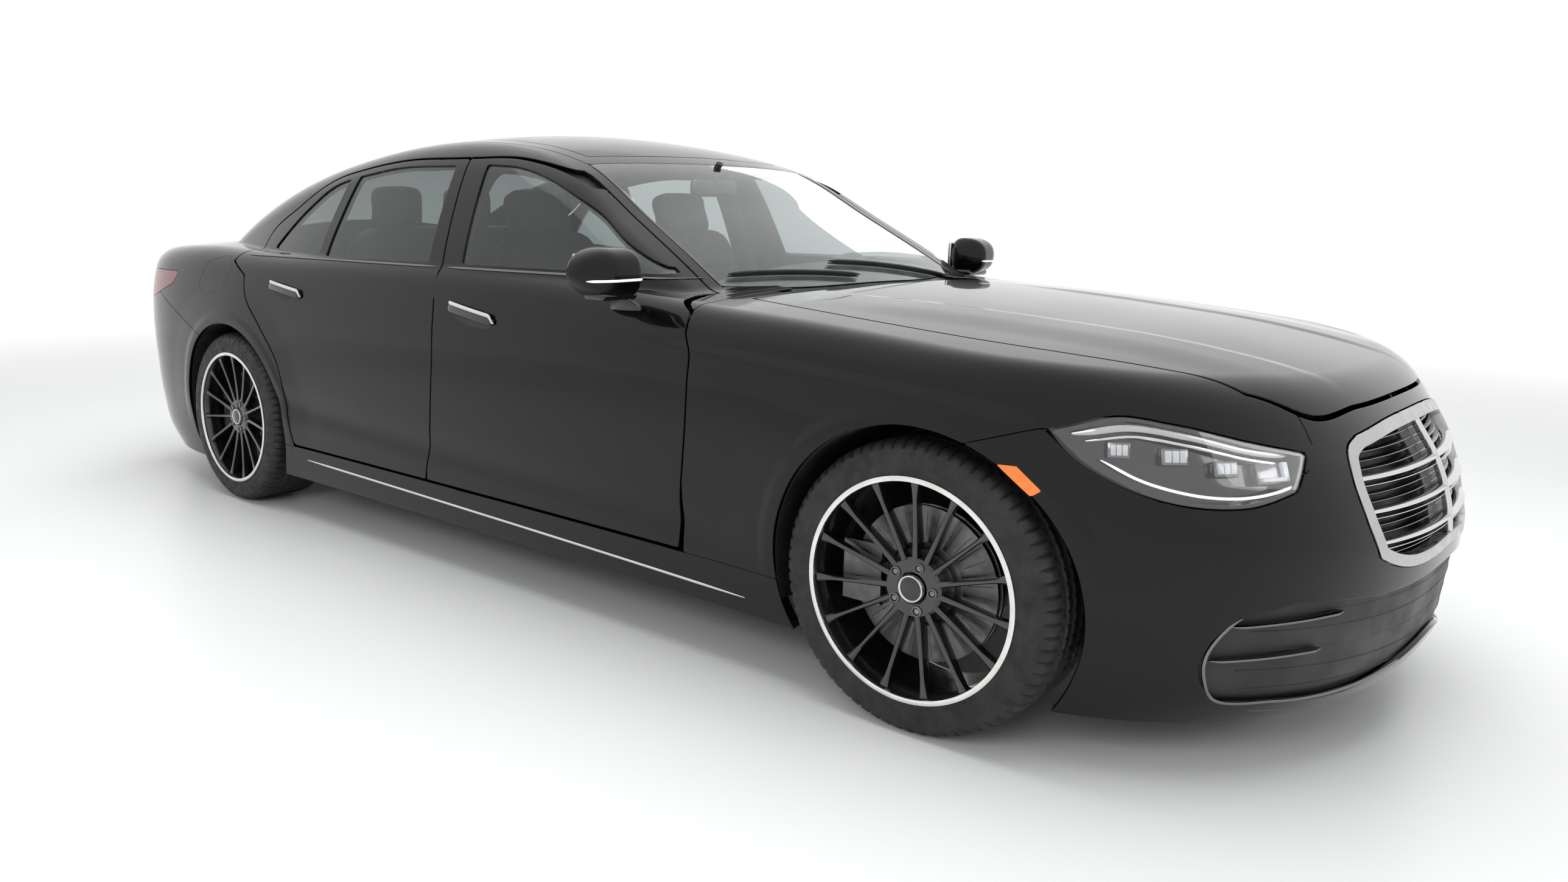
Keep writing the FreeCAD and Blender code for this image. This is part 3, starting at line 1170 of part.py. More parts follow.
def hang_lid(lid, axis, edge_side, foot):
    """Adds both hinge pins to a lid in its own recesses, and makes the eyes that stand on the body.

    Edge side is 1 where the hinged edge lies behind the axis, -1 where it lies ahead of it."""
    eye, pin = size("hinge_eye") / 2, size("hinge_pin") / 2
    width = size("hinge_height")
    room = LID_GAP / 2
    stands = []
    for side in (1, -1):
        middle = side * axis.x
        left, right = middle - width / 2, middle + width / 2
        ends = Vector(left, axis.y, axis.z), Vector(right, axis.y, axis.z)
        stand = rod(*ends, eye).fuse(box((left, axis.y - eye, foot), (right, axis.y + eye, axis.z)))
        stands.append(stand.cut(rod(*ends, pin + SEAT)))
        edge = axis.y + edge_side * 2 * size("lid_hinge_inset")
        near = axis.y - edge_side * (eye + room)
        recess = box((left - room, min(edge, near), foot), (right + room, max(edge, near), axis.z + eye + room / 2))
        shaft = rod(ends[0] - Vector(width, 0, 0), ends[1] + Vector(width, 0, 0), pin)
        lid = lid.cut(recess).fuse(shaft)
    return largest(lid), stands


bonnet_axis = lid_axis(across(56), along(20.45) - size("lid_hinge_inset"))
lid_axis_point = lid_axis(across(52), along(139) + size("lid_hinge_inset"))
cowl_top = up(60)
shelf_top = up(65)
front_wheel_centre = Vector(size("front_track") / 2, FRONT_AXLE, FRONT_AXLE_HEIGHT)
rear_wheel_centre = Vector(size("rear_track") / 2, REAR_AXLE, REAR_AXLE_HEIGHT)
kingpin_x = front_wheel_centre.x - size("kingpin_offset")

bonnet, bonnet_stands = hang_lid(make_bonnet(), bonnet_axis, 1, cowl_top)
boot_lid, lid_stands = hang_lid(make_boot_lid(), lid_axis_point, -1, shelf_top)
publish("body_shell", largest(make_body_shell().fuse(bonnet_stands + lid_stands)))
publish("side_frames", both(make_side_frame()))
for name, shape in make_top_panels().items():
    publish(name, shape)
publish("front_wings", both(make_fender()))
publish("rear_wings", both(make_quarter()))
publish("tail_panels", both(make_tail_panel()))
publish("front_bumper", make_front_bumper())
publish("rear_bumper", make_rear_bumper())
publish("grille", make_grille())
publish("lower_intake", make_intake())
publish("headlamps", both(make_lamp(-1, HEADLAMP_SHARES, (40, 56)).cut(front_arch)))
publish("tail_lamps", both(make_lamp(1, TAIL_LAMP_SHARES, (50, 65), TAIL_LAMP_SIDE_SHARES)))
publish("bonnet", bonnet)
publish("boot_lid", boot_lid)
publish("side_skirts", both(make_skirts()))
publish("door_hinges", make_hinges())
DOORS = {
    "front": (FRONT_DOOR_SHARES, FRONT_FRAME_OUTLINE_SHARES, [FRONT_WINDOW_SHARES], 20, 61, FRONT_HINGE_SHARE,
              door_cuts[1]),
    "rear": (REAR_DOOR_SHARES, REAR_FRAME_OUTLINE_SHARES, [REAR_WINDOW_SHARES, QUARTER_WINDOW_SHARES], 55, 100,
             REAR_HINGE_SHARE, door_cuts[0]),
}
for name, layout in DOORS.items():
    door, panes = make_door(*layout)
    for hand, side in (("left", lambda shape: shape), ("right", mirrored)):
        publish(f"{name}_door_{hand}", side(door))
        publish(f"{name}_door_glass_{hand}", side(panes))
for hand, side in (("left", lambda shape: shape), ("right", mirrored)):
    publish(f"mirror_{hand}", side(make_mirror()))
    publish(f"front_knuckle_{hand}", side(make_knuckle(front_wheel_centre, kingpin_x)))
    for end, centre in (("front", front_wheel_centre), ("rear", rear_wheel_centre)):
        width = size(f"{end}_tyre_width")
        publish(f"{end}_tyre_{hand}", side(make_tyre(size(f"{end}_tyre_diameter"), width, centre)))
        publish(f"{end}_wheel_{hand}", side(make_wheel(width, centre)))
publish("arch_liners", Part.makeCompound([
    side(make_liner(axle, height, inner)) for side in (lambda shape: shape, mirrored)
    for axle, height, inner in ((FRONT_AXLE, FRONT_AXLE_HEIGHT, size("front_rail_reach")),
                                (REAR_AXLE, REAR_AXLE_HEIGHT, size("rear_rail_reach")))]))
publish("front_suspension", make_front_suspension(front_wheel_centre, kingpin_x))
publish("rear_suspension", make_rear_suspension(rear_wheel_centre))
publish("front_seats", make_front_seats())
publish("rear_seat", make_rear_seat())
publish("dashboard", make_dashboard())
publish("steering_wheel", make_steering_wheel())
publish("exhaust", make_exhaust())
engine = doc.addObject("Part::Box", "engine_block")
engine.Label = "engine_block"
engine.setExpression("Length", "Sizes.engine_width")
engine.setExpression("Width", "Sizes.engine_length")
engine.setExpression("Height", "Sizes.engine_height")
engine.Placement = Placement(Vector(-size("engine_width") / 2, along(-25), size("engine_floor")), Rotation())
NODES.append(engine)

doc.recompute()
os.makedirs("parts", exist_ok=True)
for item in doc.Objects:
    if "Invalid" in item.State or "Error" in item.State:
        raise RuntimeError(f"{item.Label} failed: {item.State}")
for item in NODES:
    if item.Shape.isNull() or not item.Shape.isValid():
        raise RuntimeError(f"{item.Label} is not a valid shape")
for item in NODES:
    item.Shape.exportStep(f"parts/{item.Label}.step")
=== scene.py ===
"""The looks of a long saloon car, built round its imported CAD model."""
import math

import bmesh
import bpy
import numpy as np
from mathutils import Matrix, Vector


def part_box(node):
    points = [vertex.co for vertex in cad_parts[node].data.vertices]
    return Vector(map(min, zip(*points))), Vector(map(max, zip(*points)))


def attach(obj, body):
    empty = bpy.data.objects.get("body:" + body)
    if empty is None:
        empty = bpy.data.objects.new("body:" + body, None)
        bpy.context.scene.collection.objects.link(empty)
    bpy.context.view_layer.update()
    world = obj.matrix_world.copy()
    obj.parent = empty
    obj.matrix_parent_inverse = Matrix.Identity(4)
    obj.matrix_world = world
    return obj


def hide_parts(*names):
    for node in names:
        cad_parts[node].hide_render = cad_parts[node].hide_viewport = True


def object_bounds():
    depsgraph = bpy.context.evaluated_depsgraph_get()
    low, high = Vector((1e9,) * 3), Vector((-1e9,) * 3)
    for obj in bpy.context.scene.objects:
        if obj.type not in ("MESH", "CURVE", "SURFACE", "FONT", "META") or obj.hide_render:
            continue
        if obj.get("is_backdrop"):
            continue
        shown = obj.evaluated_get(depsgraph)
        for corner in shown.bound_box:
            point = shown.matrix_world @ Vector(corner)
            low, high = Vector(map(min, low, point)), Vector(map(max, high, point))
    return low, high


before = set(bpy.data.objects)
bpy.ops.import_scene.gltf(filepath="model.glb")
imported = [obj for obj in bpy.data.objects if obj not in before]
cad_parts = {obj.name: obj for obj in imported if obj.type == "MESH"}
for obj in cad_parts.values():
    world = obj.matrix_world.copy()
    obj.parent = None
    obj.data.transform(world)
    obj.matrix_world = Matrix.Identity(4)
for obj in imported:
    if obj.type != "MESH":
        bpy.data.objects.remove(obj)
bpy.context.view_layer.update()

# ---------------------------------------------------------------- the car's driving lines
HALF_WIDTH, HEIGHT = 0.977, 1.503
FRONT_AXLE, REAR_AXLE = -1.7655, 1.4505
WHEELBASE, FRONT_OVERHANG, REAR_OVERHANG = 3.216, 0.879, 1.194
FRONT_HUB = Vector((0.830, FRONT_AXLE, 0.356))
REAR_HUB = Vector((0.826, REAR_AXLE, 0.354))
ARCH_RADIUS = 0.397
SHOULDER_BLEND, ROOF_BLEND, BELT_BLEND = 0.080, 0.080, 0.012
SKIN = 0.010
ROLL = 0.0025


def along(q):
    q = np.asarray(q, float)
    return np.where(q < 0, FRONT_AXLE + q * FRONT_OVERHANG / 100,
                    np.where(q > 100, REAR_AXLE + (q - 100) * REAR_OVERHANG / 100,
                             FRONT_AXLE + q * WHEELBASE / 100))


def up(v):
    return np.asarray(v, float) * HEIGHT / 100


def across(v):
    return np.asarray(v, float) * HALF_WIDTH / 100


class Curve:
    """A smooth line through a few points, straight past its ends."""

    def __init__(self, places, values):
        self.x, self.y = np.asarray(places, float), np.asarray(values, float)
        span, rise = np.diff(self.x), np.diff(self.y)
        slope = rise / span
        inner = (slope[:-1] * span[1:] + slope[1:] * span[:-1]) / (span[:-1] + span[1:])
        self.m = np.concatenate([slope[:1], inner, slope[-1:]])

    def __call__(self, place):
        place = np.asarray(place, float)
        i = np.clip(np.searchsorted(self.x, place) - 1, 0, len(self.x) - 2)
        span = self.x[i + 1] - self.x[i]
        u = (place - self.x[i]) / span
        inside = ((1 + 2 * u) * (1 - u) ** 2 * self.y[i] + u * (1 - u) ** 2 * span * self.m[i]
                  + u * u * (3 - 2 * u) * self.y[i + 1] - u * u * (1 - u) * span * self.m[i + 1])
        low = self.y[0] + self.m[0] * (place - self.x[0])
        high = self.y[-1] + self.m[-1] * (place - self.x[-1])
        return np.where(place <= self.x[0], low, np.where(place >= self.x[-1], high, inside))


def shares(table, place, value):
    return Curve(place([p[0] for p in table]), value([p[1] for p in table]))


def plain(v):
    return np.asarray(v, float) / 100


deck_line = shares([(-100, 52.6), (-84, 56.1), (-68, 58.7), (-46, 61.3), (0, 64.3), (10, 65.9), (23, 67.5),
                    (37, 70.3), (56, 72.3), (75, 72.4), (93, 71.9), (128, 72.7), (149, 72.1), (174, 70.7),
                    (193, 69.5)], along, up)
width_line = shares([(-100, 98.5), (0, 99.1), (22, 97.75), (56, 97.75), (84, 98.8), (100, 100), (140, 99.5),
                     (200, 98)], along, plain)
side_line = shares([(8.6, 94), (14, 96.3), (21.6, 97.4), (33.3, 98.6), (46.6, 100), (56.6, 99.5), (63.4, 97.5),
                    (69.6, 94.5), (76.5, 90)], up, plain)
nose_line = shares([(6.7, 86.5), (10, 92.7), (14.6, 97.3), (21.3, 99.2), (29.3, 100), (37.3, 98.8), (45.2, 93.9),
                    (49, 89.9), (53.2, 85.6), (56, 83), (63.2, 72.8)], up, lambda v: plain(v) * FRONT_OVERHANG)
tail_line = shares([(8.6, 85.4), (14.6, 93), (23.3, 98), (37.3, 100), (46.6, 99.7), (56.6, 98.7), (63.2, 97.7),
                    (69.9, 96.3)], up, lambda v: plain(v) * REAR_OVERHANG)
roof_line = shares([(17.4, 60.2), (22.9, 66.8), (28, 73.1), (35.8, 82.2), (43.5, 91.3), (49.8, 95.9), (56, 98.5),
                    (62.2, 99.8), (66.9, 100), (74.6, 99.4), (84, 97), (90.2, 94.5), (96.4, 91), (107, 86.5),
                    (123.8, 81), (140.5, 74.5), (148.9, 70.9)], along, up)
cabin_side_line = shares([(63.2, 93.9), (66.5, 92.1), (73.2, 88.1), (79.8, 83.3), (86.5, 77.8), (93.1, 71.6),
                          (96.5, 68.3)], up, across)
cabin_taper_line = shares([(18.7, 12.3), (24.9, 8.7), (31.1, 5.1), (43.5, 1.4), (59, 0), (74.6, 0.4), (84, 1.6),
                           (90.2, 3.3), (96.4, 5.9), (115.4, 11.5), (140.5, 18.9)], along, across)
screen_bow_line = shares([(20, 2.33), (43.5, 1.24), (62, 0), (90, -1.87), (140.5, -3.42)], along,
                         lambda v: plain(v) * WHEELBASE)
roof_crown_line = shares([(20, 1.6), (43.5, 2.66), (62, 4), (84, 4.66), (124, 3), (149, 2.3)], along, up)


def smooth_max(a, b, blend):
    overlap = np.maximum(blend - np.abs(a - b), 0) / blend
    return np.maximum(a, b) + overlap * overlap * blend / 4


def step(x):
    x = np.clip(x, 0, 1)
    return x * x * (3 - 2 * x)


def bell(x):
    return np.exp(-x * x)


crease_line = Curve(along([-50, -32, -10, 10, 24, 40]), up([53.6, 54.6, 56.6, 58.6, 60.2, 61.2]))
flank_line = Curve(along([10, 30, 60, 90]), up([24, 26, 28, 31]))


def relief(x, y, z):
    """How far the pressed shape stands proud of the plain skin."""
    flank = step((np.abs(x) - 0.62) / 0.14)
    proud = 0
    for hub, high in ((FRONT_HUB, 1.0), (REAR_HUB, 0.9)):
        rho = np.hypot(y - hub.y, z - hub.z)
        above = step((z - 0.20) / 0.25)
        band = 1 - step((rho - ARCH_RADIUS - 0.024) / 0.034)
        swell = 1 - step((rho - ARCH_RADIUS) / 0.20)
        proud = proud + above * high * (0.0045 * band + 0.0075 * swell)
    off = (z - crease_line(y)) / 0.030
    fade = step((y - along(-46)) / 0.25) * (1 - step((y - along(20)) / 0.55))
    proud = proud + fade * (0.006 * bell(off) - 0.007 * bell((off + 2.0) / 1.3))
    low = (z - flank_line(y)) / 0.05
    doors = step((y - along(14)) / 0.3) * (1 - step((y - along(86)) / 0.2))
    proud = proud - doors * 0.009 * bell(low)
    return proud * flank


def bonnet_relief(x, y, z):
    edge = across(30) + (y - along(-60)) * 0.10
    ridge = 0.0050 * step((np.abs(x) - edge) / 0.05) * (1 - step((np.abs(x) - edge - 0.14) / 0.18))
    reach = step((y - along(-84)) / 0.25) * (1 - step((y - along(6)) / 0.4))
    return ridge * reach * step((z - up(50)) / 0.06)


def body_field(x, y, z):
    side = np.abs(x) / (HALF_WIDTH * width_line(y) * np.maximum(side_line(z), 0.5))
    front = np.maximum(FRONT_AXLE - y, 0) / np.maximum(nose_line(z), FRONT_OVERHANG / 2)
    rear = np.maximum(y - REAR_AXLE, 0) / np.maximum(tail_line(z), REAR_OVERHANG / 2)
    plan = np.where(y < FRONT_AXLE, (side ** 2.3 + front ** 2.3) ** (1 / 2.3), side)
    plan = np.where(y > REAR_AXLE, (side ** 4 + rear ** 4) ** 0.25, plan)
    top = z - deck_line(y) + up(2.66) * (x / across(92)) ** 2
    return smooth_max((plan - 1) * HALF_WIDTH, top, SHOULDER_BLEND) - relief(x, y, z) - bonnet_relief(x, y, z)


def cabin_field(x, y, z):
    below = np.maximum(up(61) - z, 0)
    side = np.abs(x) - cabin_side_line(np.maximum(z, up(61))) + cabin_taper_line(y) + below
    bow = screen_bow_line(y) * (x / across(81.9)) ** 2
    crown = roof_crown_line(y) * (x / across(71.6)) ** 2
    return smooth_max(side, z - roof_line(y - bow) + crown, ROOF_BLEND)


def whole_field(x, y, z):
    return -smooth_max(-body_field(x, y, z), -cabin_field(x, y, z), BELT_BLEND)


PROBE, RAY_REACH = 0.0008, 3.0


def slope(field, p):
    """Unit normals and slope of a field at points."""
    x, y, z = p.T
    g = np.stack([field(x + PROBE, y, z) - field(x - PROBE, y, z), field(x, y + PROBE, z) - field(x, y - PROBE, z),
                  field(x, y, z + PROBE) - field(x, y, z - PROBE)], 1) / (2 * PROBE)
    size = np.linalg.norm(g, axis=1, keepdims=True)
    return g / np.maximum(size, 1e-9), size[:, 0]


def meet(field, start, direction):
    """Where rays from inside the skin leave it."""
    low, high = np.zeros(len(start)), np.full(len(start), RAY_REACH)
    for _ in range(30):
        middle = (low + high) / 2
        out = field(*(start + direction * middle[:, None]).T) > 0
        high, low = np.where(out, middle, high), np.where(out, low, middle)
    return start + direction * low[:, None]


# ---------------------------------------------------------------- charts: grids of rays
def grid(us, vs, ray):
    u, v = (c.ravel() for c in np.meshgrid(us, vs, indexing="ij"))
    start, direction = (np.stack([np.broadcast_to(c, u.shape) for c in part], 1).astype(float) for part in ray(u, v))
    return start, direction, (len(us), len(vs))


def line(low, high, pitch):
    return np.linspace(low, high, max(2, int(math.ceil(abs(high - low) / pitch)) + 1))


def fan(y0, y1, a0, a1, pitch=0.013, x0=across(46), z0=up(56)):
    """Rays across the left half from a line inside the car."""
    def ray(y, a):
        return (x0, y, z0), (np.cos(a), 0 * a, np.sin(a))
    return grid(line(along(y0), along(y1), pitch), line(math.radians(a0), math.radians(a1), pitch / 0.52), ray)


def plan(x0, x1, y0, y1, base, pitch=0.014):
    def ray(x, y):
        return (x, y, up(base)), (0, 0, 1)
    return grid(line(across(x0), across(x1), pitch), line(along(y0), along(y1), pitch), ray)


def sweep(facing, a0, a1, z0, z1, pitch=0.012):
    """Rays in plan from an upright line inside the nose, facing -1, or the tail, facing 1."""
    pivot = along(-15) if facing < 0 else along(110)

    def ray(a, z):
        return (0, pivot, z), (np.sin(a), facing * np.cos(a), 0)
    return grid(line(math.radians(a0), math.radians(a1), pitch / 0.78), line(up(z0), up(z1), pitch), ray)


def tail_wrap(x0, x1, a0, a1, pitch=0.013):
    """Rays over the tail's upper edge, from a line across the boot."""
    def ray(x, a):
        return (x, along(165), up(52)), (0, np.cos(a), np.sin(a))
    return grid(line(across(x0), across(x1), pitch), line(math.radians(a0), math.radians(a1), pitch / 0.36), ray)


# ---------------------------------------------------------------- outlines
RUN_STEPS = 24


def smooth_run(points):
    """Points along a smooth curve through a few."""
    points = np.asarray(points, float)
    if len(points) == 2:
        return np.linspace(points[0], points[1], 8)
    place = np.concatenate([[0], np.cumsum(np.linalg.norm(np.diff(points, axis=0), axis=1))])
    at = np.linspace(0, place[-1], RUN_STEPS * (len(points) - 1) + 1)
    return np.stack([Curve(place, points[:, k])(at) for k in range(points.shape[1])], 1)


def run_of(points, h, v):
    """A smooth run in metres through points given as shares."""
    return smooth_run([(float(h(a)), float(v(b))) for a, b in points])


def closed(runs, h, v):
    """An outline in metres from runs of shares."""
    rows = []
    for i, run in enumerate(runs):
        run = list(run)
        following = runs[(i + 1) % len(runs)]
        pts = run_of(run, h, v)
        rows.append(pts[:-1])
        end, nxt = run[-1], following[0]
        if tuple(end) != tuple(nxt):
            link = np.linspace(pts[-1], (float(h(nxt[0])), float(v(nxt[1]))), 8)
            rows.append(link[:-1])
    return np.concatenate(rows)


def symmetric(runs, h, v):
    def turned(run):
        return [(-a, b) for a, b in reversed(run)]
    first = turned(runs[0])[:-1] + list(runs[0])
    last = list(runs[-1]) + turned(runs[-1])[1:]
    middle = [list(run) for run in runs[1:-1]]
    return closed([first] + middle + [last] + [turned(run) for run in reversed(middle)], h, v)


def inside(outline, a, b):
    """Distance into an outline, negative outside it."""
    p = np.stack([a, b], 1)
    s, e = outline, np.roll(outline, -1, 0)
    d = e - s
    keep = np.einsum("ij,ij->i", d, d) > 1e-14
    s, e, d = s[keep], e[keep], d[keep]
    size = np.einsum("ij,ij->i", d, d)
    best = np.full(len(p), 1e9)
    crossing = np.zeros(len(p), int)
    for i in range(0, len(p), 4000):
        q = p[i:i + 4000]
        r = q[:, None] - s[None]
        t = np.clip(np.einsum("ijk,jk->ij", r, d) / size, 0, 1)
        best[i:i + 4000] = np.linalg.norm(r - t[..., None] * d, axis=2).min(1)
        cross = (s[None, :, 1] > q[:, None, 1]) != (e[None, :, 1] > q[:, None, 1])
        with np.errstate(divide="ignore", invalid="ignore"):
            xs = s[:, 0] + (q[:, None, 1] - s[:, 1]) * d[:, 0] / d[:, 1]
        crossing[i:i + 4000] = (cross & (q[:, None, 0] < xs)).sum(1)
    return np.where(crossing % 2 == 1, best, -best)


def side_in(outline):
    return lambda p: inside(outline, p[:, 1], p[:, 2])


def lean_in(outline):
    """As in the side view, but slanted with the side glass."""
    return lambda p: inside(outline, p[:, 1] + 0.27 * (cabin_side_line(p[:, 2]) - np.abs(p[:, 0])), p[:, 2])


def plan_in(outline):
    return lambda p: inside(outline, p[:, 0], p[:, 1])


def front_in(outline):
    return lambda p: inside(outline, p[:, 0], p[:, 2])


def both_front(outline, facing):
    """A left outline in the end view and its mirror image."""
    def test(p):
        g = inside(outline, np.abs(p[:, 0]), p[:, 2])
        return np.where(facing * p[:, 1] > 0, g, -1)
    return test


def less(test, gap=0.0):
    return lambda p: -test(p) - gap


def more(test, gap=0.0):
    return lambda p: test(p) - gap


def either(*tests):
    return lambda p: np.max([t(p) for t in tests], 0)


def allof(*tests):
    return lambda p: np.min([t(p) for t in tests], 0)


def beyond(axis, value, sign=1):
    return lambda p: sign * (p[:, axis] - value)


def within_x(half):
    return lambda p: half - np.abs(p[:, 0])


def arch(hub):
    return lambda p: np.where(np.abs(p[:, 0]) > 0.45, np.hypot(p[:, 1] - hub.y, p[:, 2] - hub.z) - ARCH_RADIUS, 1)


BELT, SILL = 67, 19.8
MIDDLE = [(59.4, SILL), (57.7, 36), (56.8, 49), (56.8, 58.2), (57.3, BELT)]
FRONT_EDGE = [(22.3, 63.6), (21.6, 56), (21.6, 47), (22.5, 30), (22.8, SILL)]
REAR_EDGE = [(96.2, BELT), (95.1, 58.7), (91.4, 50.5), (87.9, 41.6), (86.8, 30), (86, SILL)]
FRONT_FRAME = [(26.2, BELT), (32.9, 74.9), (39.7, 83.1), (44.9, 88.7), (52.1, 92.4), (59.9, 92.9)]
REAR_FRAME = [(59.9, 92.9), (72.8, 92.7), (80, 90.9), (85, 88.9), (92, 81.5), (98.2, 72.9), (99.2, BELT)]
front_low = closed([FRONT_EDGE, MIDDLE, [MIDDLE[-1], (26.2, BELT)], [(26.2, BELT), (22.3, 63.6)]], along, up)
front_high = closed([FRONT_FRAME, [(59.9, 92.9), (57.3, BELT)], [(57.3, BELT), (57.3, 62)], [(57.3, 62), (26.2, 62)],
                     [(26.2, 62), (26.2, BELT)]], along, up)
rear_low = closed([MIDDLE, [(57.3, BELT), (96.2, BELT)], REAR_EDGE, [(86, SILL), (59.4, SILL)]], along, up)
rear_high = closed([[(57.3, BELT), (59.9, 92.9)], REAR_FRAME, [(99.2, BELT), (94, 62)], [(94, 62), (57.3, 62)],
                    [(57.3, 62), (57.3, BELT)]], along, up)
front_window = closed([[(56.4, 91.2), (54.4, 69.6)], [(54.4, 69.6), (29.8, 69.6)],
                       [(29.8, 69.6), (34.1, 74.4), (41, 82.9), (46.6, 87.9), (51.4, 90.4), (56.4, 91.2)]], along, up)
rear_window = closed([[(61.6, 91.2), (72.8, 91), (79.8, 89.2)], [(79.8, 89.2), (80.6, 69.6)], [(80.6, 69.6),
                                                                                           (60, 69.6)],
                      [(60, 69.6), (61.6, 91.2)]], along, up)
quarter_window = closed([[(81.7, 88.5), (84.2, 87.3), (89.5, 80.6), (95, 70.6)], [(95, 70.6), (82.4, 69.6)],
                         [(82.4, 69.6), (81.7, 88.5)]], along, up)


def rail_edge(p):
    """How far out the screens and the roof reach beside each place along the car."""
    return np.interp(p[:, 1], along([22.0, 25.8, 46, 66, 89.5, 134]), across([68.7, 67, 58, 61, 58, 62]))


def off_rail(width):
    """Beyond a pillar or rail of a given width beside the screens and the roof."""
    return lambda p: np.abs(p[:, 0]) - rail_edge(p) - width


front_door_in = allof(either(side_in(front_low), lean_in(front_high)), off_rail(0.046))
rear_door_in = allof(either(side_in(rear_low), lean_in(rear_high)), off_rail(0.046))

bonnet_plan = symmetric([[(0, -84), (30, -82), (50, -77), (62, -66)], [(62, -66), (74, -30), (78, 0), (77, 10),
                                                                    (72, 21)], [(72, 21), (40, 19.8), (0, 19)]],
                        across, along)
screen_plan = symmetric([[(0, 22.8), (40, 23.6), (67, 25.8)], [(67, 25.8), (58, 46)],
                         [(58, 46), (30, 44.8), (0, 44.3)]], across, along)
roof_glass_plan = symmetric([[(0, 46.5), (30, 46.9), (52, 48)], [(52, 48), (54, 68)], [(54, 68), (0, 68)]],
                            across, along)
roof_plan = symmetric([[(0, 44.3), (30, 44.8), (58, 46)], [(58, 46), (61, 66), (58, 89.5)],
                       [(58, 89.5), (30, 88.3), (0, 88)]], across, along)
rear_screen_plan = symmetric([[(0, 88), (30, 88.3), (58, 89.5)], [(58, 89.5), (62, 134)],
                              [(62, 134), (32, 138), (0, 139)]], across, along)
lid_plan = symmetric([[(0, 142.5), (34, 141.5), (66, 137)], [(66, 137), (68, 160), (63, 185)], [(63, 185), (63, 205)],
                      [(63, 205), (0, 205)]], across, along)
grille_front = symmetric([[(0, 51.8), (22, 51.4), (38, 50.2)], [(38, 50.2), (43, 48.8), (46, 45), (45, 39), (41, 33)],
                          [(41, 33), (37, 31.9), (0, 31)]], across, up)
intake_front = symmetric([[(0, 28.5), (38, 27.5), (62, 28)], [(62, 28), (73, 25), (76, 17), (72, 13)],
                          [(72, 13), (44, 12), (0, 16.5)]], across, up)
lid_face = symmetric([[(0, 80), (75, 80)], [(75, 80), (75, 66.5)], [(75, 66.5), (60, 64.5), (57, 61)],
                      [(57, 61), (57, 52)], [(57, 52), (50, 46.6)], [(50, 46.6), (0, 46.6)]], across, up)
headlamp_front = closed([[(55.5, 48.6), (68, 50.6), (80, 53), (87, 53.9), (94.2, 51.6)],
                         [(94.2, 51.6), (91.5, 46.8), (85.2, 42.9), (72.2, 41.6), (61.5, 43.6)],
                         [(61.5, 43.6), (55.5, 48.6)]], across, up)
tail_lamp_front = closed([[(57.5, 62.3), (84, 62.3), (104, 63.2)], [(104, 63.2), (104, 54)], [(104, 54), (57.5, 53)],
                          [(57.5, 53), (57.5, 62.3)]], across, up)
tail_lamp_side = closed([[(205, 70), (141, 70)], [(141, 70), (139.5, 62), (141.5, 60), (149, 57.8), (165, 54.5)],
                         [(165, 54.5), (205, 48)], [(205, 48), (205, 70)]], along, up)
rear_bumper_side = closed([[(118, 5), (118, 45.4)], [(118, 45.4), (124, 47), (134, 49.7), (150, 54.4), (163, 58)],
                           [(163, 58), (205, 58)], [(205, 58), (205, 5)], [(205, 5), (118, 5)]], along, up)
A_BASE = along(22.3)
skirt_top = up(SILL - 0.4)
headlamp_in = both_front(headlamp_front, -1)
tail_lamp_in = allof(both_front(tail_lamp_front, 1), side_in(tail_lamp_side))
lid_in = allof(plan_in(lid_plan), front_in(lid_face))


# ---------------------------------------------------------------- meshes
def clip(v, f, g, extra):
    """Keeps the part of a triangle mesh where g is above zero. extra columns follow the points."""
    keep = g[f] >= 0
    count = keep.sum(1)
    whole = f[count == 3]
    cut = f[(count > 0) & (count < 3)]
    points, values, made, out = [], [], {}, []
    base = len(v)

    def crossing(a, b):
        key = (a, b) if a < b else (b, a)
        if key not in made:
            t = g[a] / (g[a] - g[b])
            made[key] = base + len(points)
            points.append(v[a] + (v[b] - v[a]) * t)
            values.append(extra[a] + (extra[b] - extra[a]) * t)
        return made[key]
    for tri in cut:
        ring = []
        for i in range(3):
            a, b = int(tri[i]), int(tri[(i + 1) % 3])
            if g[a] >= 0:
                ring.append(a)
            if (g[a] >= 0) != (g[b] >= 0):
                ring.append(crossing(a, b))
        for i in range(1, len(ring) - 1):
            out.append((ring[0], ring[i], ring[i + 1]))
    if points:
        v = np.concatenate([v, np.array(points)])
        extra = np.concatenate([extra, np.array(values)])
    f = np.concatenate([whole, np.array(out, int).reshape(-1, 3)])
    return v, f, extra


WELD = 0.0012
SHARP = math.radians(32)


def weld(v, f):
    """Merges points near the rim that lie close together."""
    mesh = bmesh.new()
    verts = [mesh.verts.new(p) for p in v]
    for tri in f:
        if len(set(tri)) == 3:
            try:
                mesh.faces.new([verts[i] for i in tri])
            except ValueError:
                continue
    loose = [p for p in mesh.verts if not p.link_faces]
    bmesh.ops.delete(mesh, geom=loose, context="VERTS")
    rim = [p for p in mesh.verts if p.is_boundary]
    near = dict.fromkeys(rim)
    for p in rim:
        near.update(dict.fromkeys(e.other_vert(p) for e in p.link_edges))
    bmesh.ops.remove_doubles(mesh, verts=list(near), dist=WELD)
    bmesh.ops.dissolve_degenerate(mesh, edges=list(mesh.edges), dist=1e-5)
    bmesh.ops.triangulate(mesh, faces=[x for x in mesh.faces if len(x.verts) > 3])
    mesh.verts.ensure_lookup_table()
    mesh.verts.index_update()
    v = np.array([p.co for p in mesh.verts])
    f = np.array([[p.index for p in x.verts] for x in mesh.faces], int)
    mesh.free()
    return v, f


